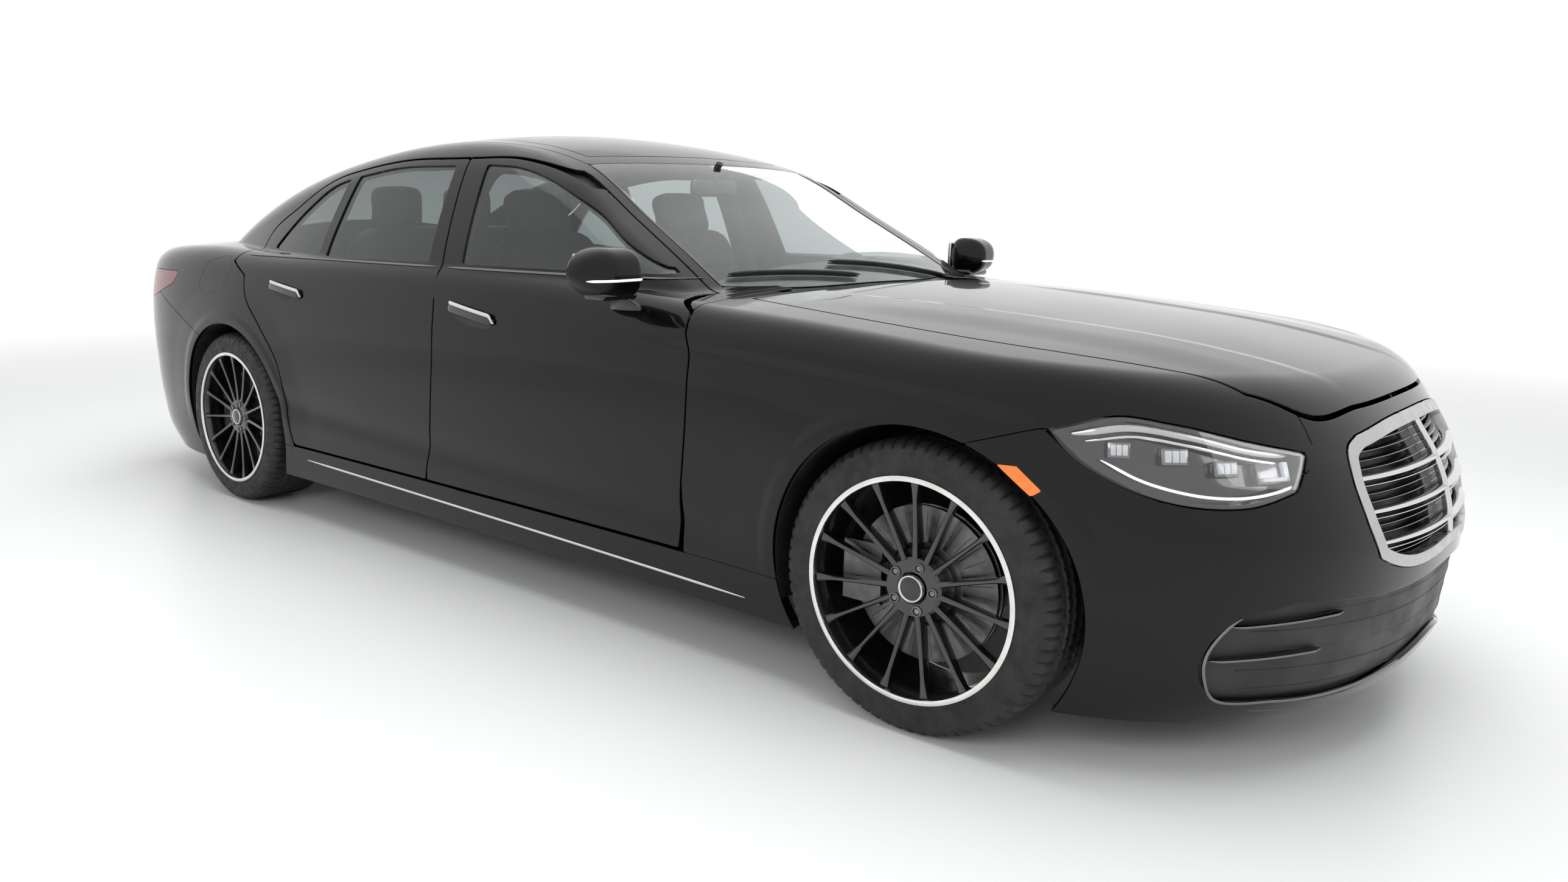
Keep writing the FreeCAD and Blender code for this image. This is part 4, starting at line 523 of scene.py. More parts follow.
def largest(f, count):
    """Keeps only the largest connected part of a mesh."""
    parent = np.arange(count)
    for _ in range(60):
        low = np.minimum(np.minimum(parent[f[:, 0]], parent[f[:, 1]]), parent[f[:, 2]])
        new = parent.copy()
        for k in range(3):
            np.minimum.at(new, f[:, k], low)
        new = new[new]
        if (new == parent).all():
            break
        parent = new
    label = parent[f[:, 0]]
    names, sizes = np.unique(label, return_counts=True)
    return f[label == names[sizes.argmax()]]


def skin_mesh(field, chart, tests):
    """The part of the skin, on a chart, that passes all tests: points and triangles facing out."""
    start, direction, (nu, nv) = chart
    p = meet(field, start, direction)
    i = np.arange(nu * nv).reshape(nu, nv)
    a, b, c, d = i[:-1, :-1].ravel(), i[1:, :-1].ravel(), i[1:, 1:].ravel(), i[:-1, 1:].ravel()
    f = np.concatenate([np.stack([a, b, c], 1), np.stack([a, c, d], 1)])
    values = np.stack([t(p) for t in tests], 1)
    for k in range(len(tests)):
        p, f, values = clip(p, f, values[:, k], values)
    f = largest(f, len(p))
    used = np.unique(f)
    back = np.zeros(len(p), int)
    back[used] = np.arange(len(used))
    p, f = weld(p[used], back[f])
    n, size = slope(field, p)
    p = p - n * (field(*p.T) / np.maximum(size, 0.3))[:, None]
    n, _ = slope(field, p)
    t = f[:5000]
    facing = np.einsum("ij,ij->i", np.cross(p[t[:, 1]] - p[t[:, 0]], p[t[:, 2]] - p[t[:, 0]]), n[t[:, 0]])
    if facing.sum() < 0:
        f = f[:, ::-1]
    return p, f, n


def thicken(p, f, n, depth, top=0.0, roll=ROLL, rows=4):
    """A closed shell below a stretch of skin, with rolled edges."""
    edges = {}
    for tri in f:
        for k in range(3):
            a, b = int(tri[k]), int(tri[(k + 1) % 3])
            if (b, a) in edges:
                del edges[(b, a)]
            else:
                edges[(a, b)] = True
    rim = sorted({a for e in edges for a in e})
    slot = {a: i for i, a in enumerate(rim)}
    tangent = np.zeros((len(rim), 3))
    for a, b in edges:
        d = p[b] - p[a]
        d = d / max(np.linalg.norm(d), 1e-9)
        tangent[slot[a]] += d
        tangent[slot[b]] += d
    rn, rp = n[rim], p[rim]
    out = np.cross(tangent, rn)
    out = out / np.maximum(np.linalg.norm(out, axis=1, keepdims=True), 1e-9)
    verts, normals = [p - n * top], [n]
    faces = [f]
    base, last = len(p), np.array(rim)
    for j in range(1, rows + 1):
        a = math.pi / 2 * j / rows
        verts.append(rp + out * roll * math.sin(a) - rn * (top + roll * (1 - math.cos(a))))
        normals.append(out * math.sin(a) + rn * math.cos(a))
    verts.append(rp + out * roll - rn * depth)
    normals.append(out)
    verts.append(p - n * depth)
    normals.append(-n)
    starts = [None] + [base + len(rim) * k for k in range(rows + 1)]
    pairs = np.array([(slot[a], slot[b]) for a, b in edges])
    count = rows + 1
    inner_base = base + len(rim) * count
    outer_rim = last[pairs]
    previous = outer_rim
    for k in range(1, count + 1):
        now = starts[k] + pairs
        faces.append(np.stack([previous[:, 0], now[:, 0], now[:, 1]], 1))
        faces.append(np.stack([previous[:, 0], now[:, 1], previous[:, 1]], 1))
        previous = now
    now = inner_base + last[pairs]
    faces.append(np.stack([previous[:, 0], now[:, 0], now[:, 1]], 1))
    faces.append(np.stack([previous[:, 0], now[:, 1], previous[:, 1]], 1))
    faces.append(f[:, ::-1] + inner_base)
    return np.concatenate(verts), np.concatenate(faces), np.concatenate(normals)


def mirrored(v, f, n=None):
    flip = np.array([-1, 1, 1])
    return v * flip, [face[::-1] for face in f] if isinstance(f, list) else f[:, ::-1], None if n is None else n * flip


scene_root = bpy.context.scene.collection


def add(name, v, f, material, body, slot, normals=None, smooth=SHARP, stands_for=()):
    """A new piece that rides on a body."""
    mesh = bpy.data.meshes.new(name)
    mesh.from_pydata([tuple(map(float, p)) for p in v], [], [tuple(map(int, face)) for face in f])
    mesh.materials.append(material)
    mesh.validate(clean_customdata=False)
    obj = bpy.data.objects.new(name, mesh)
    scene_root.objects.link(obj)
    if normals is not None and len(mesh.vertices) == len(normals):
        mesh.polygons.foreach_set("use_smooth", [True] * len(mesh.polygons))
        mesh.normals_split_custom_set_from_vertices([tuple(map(float, q)) for q in normals])
    elif smooth:
        soften(obj, smooth)
    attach(obj, body)
    if stands_for:
        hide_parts(*stands_for)
    return obj


def soften(obj, angle):
    """Smooth shading, sharp over an angle."""
    mesh = obj.data
    mesh.polygons.foreach_set("use_smooth", [True] * len(mesh.polygons))
    edit = bmesh.new()
    edit.from_mesh(mesh)
    for edge in edit.edges:
        edge.smooth = edge.is_manifold and edge.calc_face_angle(0) < angle
    edit.to_mesh(mesh)
    edit.free()


def pair(name, v, f, material, bodies, slot, normals=None, stands_for=((), ()), smooth=SHARP):
    """The left piece and its mirror image."""
    left = add(f"{name}_left", v, f, material, bodies[0], slot, normals, smooth, stands_for[0])
    mv, mf, mn = mirrored(np.asarray(v), f, normals)
    right = add(f"{name}_right", mv, mf, material, bodies[1], slot, mn, smooth, stands_for[1])
    return left, right


def ring_mesh(rows, caps=True, close=False):
    """Faces between closed rings of points."""
    rows = [np.asarray(r, float) for r in rows]
    n = len(rows[0])
    v = np.concatenate(rows)
    f = []
    for i in range(len(rows) if close else len(rows) - 1):
        j = (i + 1) % len(rows)
        for k in range(n):
            m = (k + 1) % n
            f.append((i * n + k, i * n + m, j * n + m, j * n + k))
    if caps and not close:
        f.append(tuple(range(n))[::-1])
        f.append(tuple((len(rows) - 1) * n + k for k in range(n)))
    return v, f


def circle(count):
    return np.linspace(0, 2 * math.pi, count, endpoint=False)


def lathe(profile, centre, count):
    """A ring about a line across the car, from points of distance along it and radius."""
    a = circle(count)
    rows = [np.stack([np.full(count, x), r * np.cos(a), r * np.sin(a)], 1) + np.array(centre) for x, r in profile]
    return ring_mesh(rows, close=True)


def strip(path, section, upward):
    """A section carried along a path. The section's points are (sideways, upwards)."""
    path = np.asarray(path, float)
    t = np.gradient(path, axis=0)
    t /= np.linalg.norm(t, axis=1, keepdims=True)
    s = np.cross(t, np.asarray(upward, float))
    s /= np.maximum(np.linalg.norm(s, axis=1, keepdims=True), 1e-9)
    u = np.cross(s, t)
    return ring_mesh([q + np.outer(section[:, 0], s[i]) + np.outer(section[:, 1], u[i]) for i, q in enumerate(path)])


def oval(w, h, count=16, power=2.6):
    a = circle(count)
    c, s = np.cos(a), np.sin(a)
    return np.stack([np.sign(c) * np.abs(c) ** (2 / power) * w / 2, np.sign(s) * np.abs(s) ** (2 / power) * h / 2], 1)


def block(low, high, bevel=0.004, segments=3, turn=None, about=None):
    """A box with rounded edges as points and faces."""
    edit = bmesh.new()
    bmesh.ops.create_cube(edit, size=1)
    low, high = np.array(low, float), np.array(high, float)
    for p in edit.verts:
        p.co = Vector((low + high) / 2 + np.array(p.co) * (high - low))
    bevel = min(bevel, float((high - low).min()) * 0.49)
    bmesh.ops.bevel(edit, geom=list(edit.edges), offset=bevel, segments=segments, profile=0.5, affect="EDGES")
    if turn is not None:
        bmesh.ops.rotate(edit, cent=Vector(about), matrix=turn, verts=edit.verts)
    edit.verts.index_update()
    v = np.array([p.co for p in edit.verts])
    f = [tuple(p.index for p in x.verts) for x in edit.faces]
    edit.free()
    return v, f


def join(*meshes):
    v, f, base = [], [], 0
    for mv, mf in meshes:
        v.append(np.asarray(mv))
        f += [tuple(int(i) + base for i in face) for face in mf]
        base += len(mv)
    return np.concatenate(v), f


# ---------------------------------------------------------------- materials
class Look:
    """A procedural material under construction."""

    def __init__(self, name, colour, rough, metal=0.0, **sockets):
        self.m = bpy.data.materials.new(name)
        self.m.use_nodes = True
        self.t = self.m.node_tree
        self.b = self.t.nodes["Principled BSDF"]
        self.out = next(n for n in self.t.nodes if n.type == "OUTPUT_MATERIAL")
        self.set("Base Color", (*colour, 1))
        self.set("Roughness", rough)
        self.set("Metallic", metal)
        for key, value in sockets.items():
            self.set(key.replace("_", " "), value)
        self.coord = self.t.nodes.new("ShaderNodeTexCoord").outputs["Object"]

    def set(self, key, value):
        self.b.inputs[key].default_value = value

    def noise(self, scale, detail=3.0, stretch=(1, 1, 1), kind="ShaderNodeTexNoise"):
        shift = self.t.nodes.new("ShaderNodeMapping")
        shift.inputs["Scale"].default_value = stretch
        self.t.links.new(self.coord, shift.inputs["Vector"])
        node = self.t.nodes.new(kind)
        node.inputs["Scale"].default_value = scale
        if "Detail" in node.inputs:
            node.inputs["Detail"].default_value = detail
        self.t.links.new(shift.outputs["Vector"], node.inputs["Vector"])
        return node.outputs["Distance" if kind == "ShaderNodeTexVoronoi" else "Fac"]

    def span(self, value, low, high, a=0.35, b=0.65):
        node = self.t.nodes.new("ShaderNodeMapRange")
        for key, number in zip(("From Min", "From Max", "To Min", "To Max"), (a, b, low, high)):
            node.inputs[key].default_value = number
        self.t.links.new(value, node.inputs["Value"])
        return node.outputs["Result"]

    def rough(self, value, low, high):
        self.t.links.new(self.span(value, low, high), self.b.inputs["Roughness"])

    def tint(self, value, first, second, a=0.35, b=0.65):
        node = self.t.nodes.new("ShaderNodeMix")
        node.data_type = "RGBA"
        node.inputs["A"].default_value = (*first, 1)
        node.inputs["B"].default_value = (*second, 1)
        self.t.links.new(self.span(value, 0, 1, a, b), node.inputs["Factor"])
        self.t.links.new(node.outputs["Result"], self.b.inputs["Base Color"])

    def bump(self, value, strength=0.3, distance=0.001):
        node = self.t.nodes.new("ShaderNodeBump")
        node.inputs["Strength"].default_value = strength
        node.inputs["Distance"].default_value = distance
        self.t.links.new(value, node.inputs["Height"])
        old = self.b.inputs["Normal"].links
        if old:
            self.t.links.new(old[0].from_socket, node.inputs["Normal"])
        self.t.links.new(node.outputs["Normal"], self.b.inputs["Normal"])


VORONOI = "ShaderNodeTexVoronoi"
EVEN = (1, 1, 1)


def finish(name, colour, rough, metal=0.0, tints=(), roughs=(), bumps=(), **sockets):
    """A material whose colour, roughness and fine relief follow noises, each given as Look.noise takes them."""
    look = Look(name, colour, rough, metal, **sockets)
    for noise, *between in tints:
        look.tint(look.noise(*noise), *between)
    for noise, low, high in roughs:
        look.rough(look.noise(*noise), low, high)
    for noise, strength, distance in bumps:
        look.bump(look.noise(*noise), strength, distance)
    return look.m


def grey(level, blue=0.0):
    return level, level, level + blue


def scaled(colour, share):
    return tuple(min(1, c * share) for c in colour)


def mixed(tree, factor, first, second, out):
    """Sends a mix of two shaders to an output."""
    mix = tree.nodes.new("ShaderNodeMixShader")
    for value, socket in ((factor, mix.inputs["Fac"]), (first, mix.inputs[1]), (second, mix.inputs[2]),
                          (mix.outputs["Shader"], out.inputs["Surface"])):
        tree.links.new(value, socket)


def chrome_look(name, colour, rough):
    return finish(name, colour, rough, 1.0, [((6,), scaled(colour, 0.93), colour)],
                  [((30, 4), rough * 0.7, rough * 1.6)])


def metal_look(name, colour, rough, grain=EVEN):
    return finish(name, colour, rough, 1.0, [((10, 4), scaled(colour, 0.72), colour)],
                  [((120, 3, grain), rough * 0.8, min(1, rough * 1.35))], [((300, 2, grain), 0.15, 0.0003)])


def leather_look(name, dark, light):
    return finish(name, dark, 0.5, 0.0, [((7, 4), dark, light)], [((60, 3), 0.42, 0.6)],
                  [((420, 2, EVEN, VORONOI), 0.35, 0.0006), ((26, 3), 0.15, 0.002)],
                  Sheen_Weight=0.08, Specular_IOR_Level=0.4)


def glow_look(name, colour, glow, strength):
    return finish(name, colour, 0.25, 0.0, [((60, 2), scaled(colour, 0.85), colour)], Coat_Weight=0.5,
                  Emission_Color=(*glow, 1), Emission_Strength=strength)


def glass_look(name, colour):
    """Tinted glass that lets light through to what it covers."""
    look = Look(name, colour, 0.0, 0.0, Transmission_Weight=1.0, IOR=1.45)
    look.tint(look.noise(1.5), colour, scaled(colour, 1.04))
    tree = look.t
    clear = tree.nodes.new("ShaderNodeBsdfTransparent")
    clear.inputs["Color"].default_value = (*colour, 1)
    path = tree.nodes.new("ShaderNodeLightPath")
    mixed(tree, path.outputs["Is Shadow Ray"], look.b.outputs["BSDF"], clear.outputs["BSDF"], look.out)
    return look.m


paint = finish("black_paint", (0.004, 0.004, 0.005), 0.32, 0.0,
               [((1400, 0, EVEN, VORONOI), (0.0035, 0.0040, 0.0052), (0.0012, 0.0013, 0.0018), 0.0, 0.5)],
               [((3.0,), 0.28, 0.36)], Coat_Weight=1.0, Coat_Roughness=0.03, Coat_IOR=1.34, Specular_IOR_Level=0.05)
gloss_black = finish("gloss_black", grey(0.004), 0.09, 0.0, [((2.0,), grey(0.003), grey(0.006, 0.001))],
                     [((9.0,), 0.07, 0.12)], Coat_Weight=0.6, Coat_Roughness=0.03)
satin = finish("black_plastic", grey(0.012), 0.5, 0.0, [((5,), grey(0.009), grey(0.016, 0.001))],
               [((12,), 0.42, 0.58)], [((900, 2), 0.25, 0.0004)])
chrome = chrome_look("chrome", (0.72, 0.72, 0.73), 0.07)
dark_chrome = chrome_look("dark_chrome", (0.20, 0.20, 0.205), 0.14)
satin_chrome = chrome_look("satin_chrome", (0.55, 0.55, 0.54), 0.24)
machined = finish("machined_rim", (0.80, 0.79, 0.76), 0.22, 1.0, [((20,), (0.74, 0.73, 0.70), (0.84, 0.83, 0.80))],
                  [((160, 2, (8, 1, 1)), 0.16, 0.3)], [((700, 1, (6, 0.4, 0.4)), 0.08, 0.0002)])
wheel_black = finish("wheel_black", grey(0.006, 0.001), 0.18, 0.0, [((8,), grey(0.004, 0.001), grey(0.010, 0.001))],
                     [((25,), 0.14, 0.24)], Coat_Weight=0.9, Coat_Roughness=0.04)
rubber = finish("tyre_rubber", grey(0.009), 0.62, 0.0, [((14, 5), grey(0.007), grey(0.014, 0.001))],
                [((35, 4), 0.5, 0.74)], [((480, 3), 0.22, 0.0005)])
# The brake steel is darker than bare steel: painted shade, as the discs and knuckles sit in shade inside the wheels.
shade_darkened_steel = metal_look("brake_steel_painted_shade", grey(0.16), 0.36, (1, 0.3, 0.3))
cast = metal_look("cast_metal", (0.30, 0.30, 0.31), 0.5)
bare = metal_look("underbody_metal", (0.10, 0.10, 0.105), 0.55)
exhaust_steel = metal_look("exhaust_steel", (0.09, 0.09, 0.088), 0.4)
black_leather = leather_look("black_leather", (0.010, 0.010, 0.011), (0.020, 0.020, 0.021))
grey_leather = leather_look("grey_leather", (0.030, 0.029, 0.028), (0.050, 0.048, 0.046))
carpet = finish("carpet", (0.012, 0.012, 0.013), 0.95, 0.0, [((700, 2), grey(0.006, 0.001), grey(0.026, 0.002))],
                bumps=[((900, 2), 0.8, 0.002)], Sheen_Weight=0.3, Sheen_Roughness=0.6)
headliner = finish("headliner", (0.12, 0.12, 0.125), 0.9, 0.0, [((800, 2), (0.10, 0.10, 0.105), (0.15, 0.15, 0.155))],
                   bumps=[((1100, 1), 0.4, 0.0006)], Sheen_Weight=0.2)
screen_glass = glass_look("screen_glass", (0.80, 0.85, 0.85))
tinted_glass = glass_look("tinted_glass", (0.42, 0.46, 0.46))
roof_tint = glass_look("roof_tint", (0.06, 0.065, 0.07))
lamp_glass = glass_look("lamp_cover", grey(0.97))
red_glass = glow_look("red_lens", (0.17, 0.003, 0.004), (0.5, 0.01, 0.01), 0.02)
amber = glow_look("amber_lens", (0.85, 0.20, 0.02), (0.9, 0.25, 0.02), 0.12)
white_lens = glow_look("white_lens", (0.85, 0.87, 0.90), (1, 1, 1), 0.35)
lamp_lens = glow_look("lamp_lens", (0.38, 0.40, 0.43), (1, 1, 1), 0.06)
blank_plate = glow_look("blank_plate", (0.42, 0.42, 0.41), (1, 1, 1), 0.0)

# What each CAD node that stays in view is made of.
KEPT = {"body_shell": carpet, "door_hinges": cast, "arch_liners": satin, "front_suspension": bare,
        "rear_suspension": bare, "exhaust": exhaust_steel, "engine_block": cast, "front_knuckle_left": shade_darkened_steel,
        "front_knuckle_right": shade_darkened_steel, "lower_intake": satin, "dashboard": black_leather,
        "steering_wheel": black_leather}
for node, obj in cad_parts.items():
    obj.data.materials.clear()
    obj.data.materials.append(KEPT.get(node, paint))

# ---------------------------------------------------------------- camera and studio
CAMERA_PLACE = (-3.3241, -3.1615, 1.2308)
AZIMUTH, ELEVATION, ROLL_ANGLE = (math.radians(v) for v in (-45.29, 10.28, 0.43))
SENSOR, LENS = 36, 27.35
SHIFT = (0.106, -0.011)
DAYLIGHT, DAYLIGHT_STRENGTH = (0.95, 0.97, 1, 1), 0.55
WHITE = (1, 1, 1, 1)
# Each soft light's place, aim, size and power.
SOFT_LIGHTS = {"top": ((0, -0.4, 4.6), (0, -0.2, 0), (4.5, 7.5), 260),
               "key": ((-6.5, -2.5, 3.4), (0, 0, 0.6), (5, 2.0), 150),
               "rim": ((5.5, 3.5, 3.6), (0, 0, 0.7), (5, 2.0), 120),
               "nose": ((0.5, -7.5, 2.8), (0, -1, 0.6), (4, 1.6), 70)}
FLOOR_RINGS = (0.01, 3, 6, 12, 40)
FLOOR_SIDES = 128
FADE_FROM, FADE_TO = 4.5, 8.5


def set_camera():
    camera = bpy.data.objects.new("camera", bpy.data.cameras.new("camera"))
    scene_root.objects.link(camera)
    back = Vector((math.sin(AZIMUTH) * math.cos(ELEVATION), -math.cos(AZIMUTH) * math.cos(ELEVATION),
                   math.sin(ELEVATION)))
    level = Vector((math.cos(AZIMUTH), math.sin(AZIMUTH), 0))
    upright = back.cross(level)
    right = level * math.cos(ROLL_ANGLE) + upright * math.sin(ROLL_ANGLE)
    high = upright * math.cos(ROLL_ANGLE) - level * math.sin(ROLL_ANGLE)
    camera.matrix_world = Matrix.Translation(CAMERA_PLACE) @ Matrix((right, high, back)).transposed().to_4x4()
    camera.data.sensor_width = SENSOR
    camera.data.lens = LENS
    camera.data.shift_x, camera.data.shift_y = SHIFT
    camera.data.clip_start = 0.05
    bpy.context.scene.camera = camera
    bpy.context.scene.view_settings.view_transform = "Standard"


def set_world():
    """Pale daylight on the car, and white where the camera, a mirror or a glass sees the background."""
    world = bpy.data.worlds.new("studio")
    bpy.context.scene.world = world
    world.use_nodes = True
    t = world.node_tree
    t.nodes.clear()
    path = t.nodes.new("ShaderNodeLightPath")
    most = path.outputs["Is Camera Ray"]
    for key in ("Is Glossy Ray", "Is Transmission Ray"):
        node = t.nodes.new("ShaderNodeMath")
        node.operation = "MAXIMUM"
        t.links.new(most, node.inputs[0])
        t.links.new(path.outputs[key], node.inputs[1])
        most = node.outputs[0]
    shades = []
    for colour, strength in ((DAYLIGHT, DAYLIGHT_STRENGTH), (WHITE, 1.0)):
        node = t.nodes.new("ShaderNodeBackground")
        node.inputs["Color"].default_value = colour
        node.inputs["Strength"].default_value = strength
        shades.append(node.outputs[0])
    mixed(t, most, *shades, t.nodes.new("ShaderNodeOutputWorld"))


def set_lights():
    for name, (place, aim, size, power) in SOFT_LIGHTS.items():
        lamp = bpy.data.lights.new(name, "AREA")
        lamp.shape = "RECTANGLE"
        lamp.size, lamp.size_y = size
        lamp.energy = power
        obj = bpy.data.objects.new(name, lamp)
        obj.location = place
        obj.rotation_mode = "QUATERNION"
        obj.rotation_quaternion = (Vector(aim) - Vector(place)).to_track_quat("-Z", "Y")
        obj.visible_glossy = False
        scene_root.objects.link(obj)


def set_floor():
    """A plain pale floor that fades to white away from the car."""
    a = 2 * math.pi * np.arange(FLOOR_SIDES) / FLOOR_SIDES
    v, f = ring_mesh([np.stack([r * np.cos(a), r * np.sin(a), 0 * a], 1) for r in FLOOR_RINGS], caps=False)
    mesh = bpy.data.meshes.new("floor")
    mesh.from_pydata([tuple(p) for p in v], [], [face[::-1] for face in f] + [tuple(range(FLOOR_SIDES))])
    floor = bpy.data.objects.new("floor", mesh)
    scene_root.objects.link(floor)
    look = Look("studio_floor", (0.80, 0.80, 0.79), 0.28)
    look.tint(look.noise(0.5, 2), (0.795, 0.795, 0.79), (0.805, 0.805, 0.80))
    look.rough(look.noise(0.7, 1), 0.34, 0.38)
    t = look.t
    reach = t.nodes.new("ShaderNodeVectorMath")
    reach.operation = "LENGTH"
    t.links.new(look.coord, reach.inputs[0])
    far = look.span(reach.outputs["Value"], 0, 1, FADE_FROM, FADE_TO)
    white = t.nodes.new("ShaderNodeEmission")
    white.inputs["Color"].default_value = WHITE
    mixed(t, far, look.b.outputs["BSDF"], white.outputs["Emission"], look.out)
    mesh.materials.append(look.m)
    floor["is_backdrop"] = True


set_camera()
set_world()
set_lights()
set_floor()

# ---------------------------------------------------------------- painted skin
GAP = 0.0050
HALF = GAP / 2 + ROLL
BUTT = ROLL + 0.001
CAR = "car_body"
BOTH = (CAR, CAR)
DOOR_BODIES = {end: (f"{end}_left_door", f"{end}_right_door") for end in ("front", "rear")}
DOOR_REACH = {"front": (20.5, 61.5), "rear": (55.5, 100.5)}
DOOR_TESTS = {"front": (front_door_in, front_low, [front_window]),
              "rear": (rear_door_in, rear_low, [rear_window, quarter_window])}
PILLAR = 0.084
DOOR_DEPTH, CARD_TOP, CARD_DEPTH = 0.028, 0.026, 0.092
PANE, PANE_TOP, SCREEN = 0.0095, 0.0055, 0.006


def panel(name, field, chart, tests, material=paint, bodies=CAR, slot="paint", depth=SKIN, top=0.0, stands_for=None,
          roll=ROLL):
    """A shell under a stretch of skin, and its mirror image when there are two bodies to ride on."""
    v, f, n = thicken(*skin_mesh(field, chart, tests), depth + top, top, roll)
    if isinstance(bodies, tuple):
        return pair(name, v, f, material, bodies, slot, n, stands_for or ((), ()))
    return add(name, v, f, material, bodies, slot, n, stands_for=stands_for or ())


def window_in(window):
    return allof(lean_in(window), off_rail(PILLAR))


def make_doors():
    for end, (outline, low, windows) in DOOR_TESTS.items():
        y0, y1 = DOOR_REACH[end]
        chart = fan(y0, y1, -60, 80, 0.012)
        bodies = DOOR_BODIES[end]
        panel(f"{end}_door_skin", whole_field, chart,
              [more(outline, HALF), beyond(2, up(SILL))] + [less(window_in(w), ROLL) for w in windows], bodies=bodies,
              depth=DOOR_DEPTH, stands_for=((f"{end}_door_left",), (f"{end}_door_right",)))
        p, f, n = skin_mesh(body_field, chart, [more(side_in(low), 0.034), beyond(2, up(66.0), -1)])
        v, f, n = thicken(p, f, n, CARD_DEPTH, CARD_TOP, 0.006)
        pair(f"{end}_door_card", v, f, black_leather, bodies, "seat", n)
        points, faces, normals, base = [], [], [], 0
        for w in windows:
            p, f, n = skin_mesh(cabin_field, fan(y0, y1, 2, 80, 0.016), [more(window_in(w), -0.006)])
            v, f, n = thicken(p, f, n, PANE, PANE_TOP, 0.0005, 2)
            points.append(v)
            faces.append(f + base)
            normals.append(n)
            base += len(v)
        pair(f"{end}_side_glass", *(np.concatenate(part) for part in (points, faces)), tinted_glass, bodies, "glass",
             np.concatenate(normals), ((f"{end}_door_glass_left",), (f"{end}_door_glass_right",)))


make_doors()
off_doors = [less(front_door_in, HALF), less(rear_door_in, HALF)]
off_tops = [less(plan_in(shape), BUTT) for shape in (screen_plan, roof_plan, rear_screen_plan)]
off_lid, off_bonnet = less(lid_in, HALF), less(plan_in(bonnet_plan), HALF)
off_headlamp, off_tail_lamp = less(headlamp_in, 0.0015 + ROLL), less(tail_lamp_in, BUTT)
off_bumper = less(side_in(rear_bumper_side), BUTT)
off_arches = arch(FRONT_HUB), arch(REAR_HUB)
panel("body_side", whole_field, fan(21.5, 181, -60, 84, 0.0135),
      [beyond(1, A_BASE + BUTT), beyond(1, along(180) - ROLL, -1), *off_doors, *off_tops, off_lid, off_arches[1],
       off_bumper, off_tail_lamp, off_bonnet, either(beyond(2, skirt_top + ROLL), beyond(1, along(95))),
       beyond(0, across(40))], bodies=BOTH, stands_for=(("side_frames", "rear_wings"), ()))


def seam_height(p):
    """Height of the seam between front bumper and wing, which falls from the lamp's tip to the arch."""
    return np.interp(p[:, 1], along([-32.0, -6.0]), up([51.6, 46.8]))


def wing_in(p):
    """The front wing reaches down behind the arch, and ahead of it only over the lamp."""
    tip = np.minimum(seam_height(p) - p[:, 2], p[:, 0] - 0.85 * HALF_WIDTH)
    zone = np.max([tip, up(46) - p[:, 2], 0.53 * HALF_WIDTH - p[:, 0]], 0)
    return np.where(p[:, 1] < FRONT_AXLE, -zone - BUTT, np.minimum(np.abs(-zone), 0.05) + 0.01)


def nose_in(p):
    x, z = np.abs(p[:, 0]), p[:, 2]
    middle = np.where(z < up(48.8), 0.57, 0.53) * HALF_WIDTH
    return np.max([np.minimum(seam_height(p) - z, x - 0.85 * HALF_WIDTH), up(46) - z, middle - x], 0) - ROLL


panel("front_wing", body_field, fan(-80, 23, -60, 80, 0.012, across(50), up(42)),
      [wing_in, off_arches[0], off_bonnet, off_headlamp, off_doors[0], beyond(1, A_BASE - ROLL, -1),
       beyond(2, skirt_top + ROLL)], bodies=BOTH, stands_for=(("front_wings",), ()))
panel("bonnet_skin", body_field, plan(-82, 82, -86, 22, 50), [more(plan_in(bonnet_plan), HALF)], bodies="bonnet",
      depth=0.014, stands_for=("bonnet",))
panel("front_bumper_skin", body_field, sweep(-1, -94, 94, 8.6, 57, 0.0125),
      [beyond(1, along(-1), -1), nose_in, off_arches[0], off_bonnet, off_headlamp, less(front_in(grille_front), ROLL),
       less(front_in(intake_front), ROLL)], stands_for=("front_bumper",))
panel("rear_bumper_skin", body_field, sweep(1, -94, 94, 8.6, 60, 0.0125),
      [more(side_in(rear_bumper_side), ROLL), off_arches[1], off_tail_lamp, less(front_in(lid_face), HALF)],
      stands_for=("rear_bumper",))
panel("tail_corner", body_field, sweep(1, -2, 60, 50, 67, 0.012),
      [beyond(1, along(180) + ROLL), off_lid, off_tail_lamp, off_bumper, beyond(0, across(30))], bodies=BOTH,
      stands_for=(("tail_panels",), ()))
panel("tail_shoulder", body_field, tail_wrap(56, 91, 0, 142, 0.010),
      [beyond(1, along(180) + 0.001), beyond(2, up(66.6)), off_lid, off_tail_lamp], bodies=BOTH, top=-0.0004,
      roll=0.001)
panel("boot_skin", body_field, tail_wrap(-72, 72, -26, 142), [more(lid_in, HALF)], bodies="boot_lid", depth=0.016,
      stands_for=("boot_lid",))
panel("roof_skin", cabin_field, plan(-64, 64, 43, 91, 62),
      [more(plan_in(roof_plan), ROLL), less(plan_in(roof_glass_plan), BUTT)], stands_for=("roof",))
for name, chart, outline, inset, look, node in (
        ("roof_pane", plan(-58, 58, 45, 70, 62, 0.02), roof_glass_plan, ROLL, roof_tint, "roof_glass"),
        ("screen_pane", plan(-70, 70, 20, 47, 58, 0.02), screen_plan, 0.002, screen_glass, "windscreen"),
        ("rear_pane", plan(-66, 66, 87, 140, 58, 0.02), rear_screen_plan, 0.002, tinted_glass, "rear_window")):
    panel(name, cabin_field, chart, [more(plan_in(outline), inset)], material=look, slot="glass", depth=SCREEN,
          stands_for=(node,), roll=0.001)
panel("sill_cover", body_field, fan(8, 93, -62, -30, 0.015),
      [beyond(1, along(9)), beyond(1, along(92), -1), beyond(2, up(10.8)), beyond(2, skirt_top - ROLL, -1),
       *off_arches], bodies=BOTH, depth=0.03, stands_for=(("side_skirts",), ()))

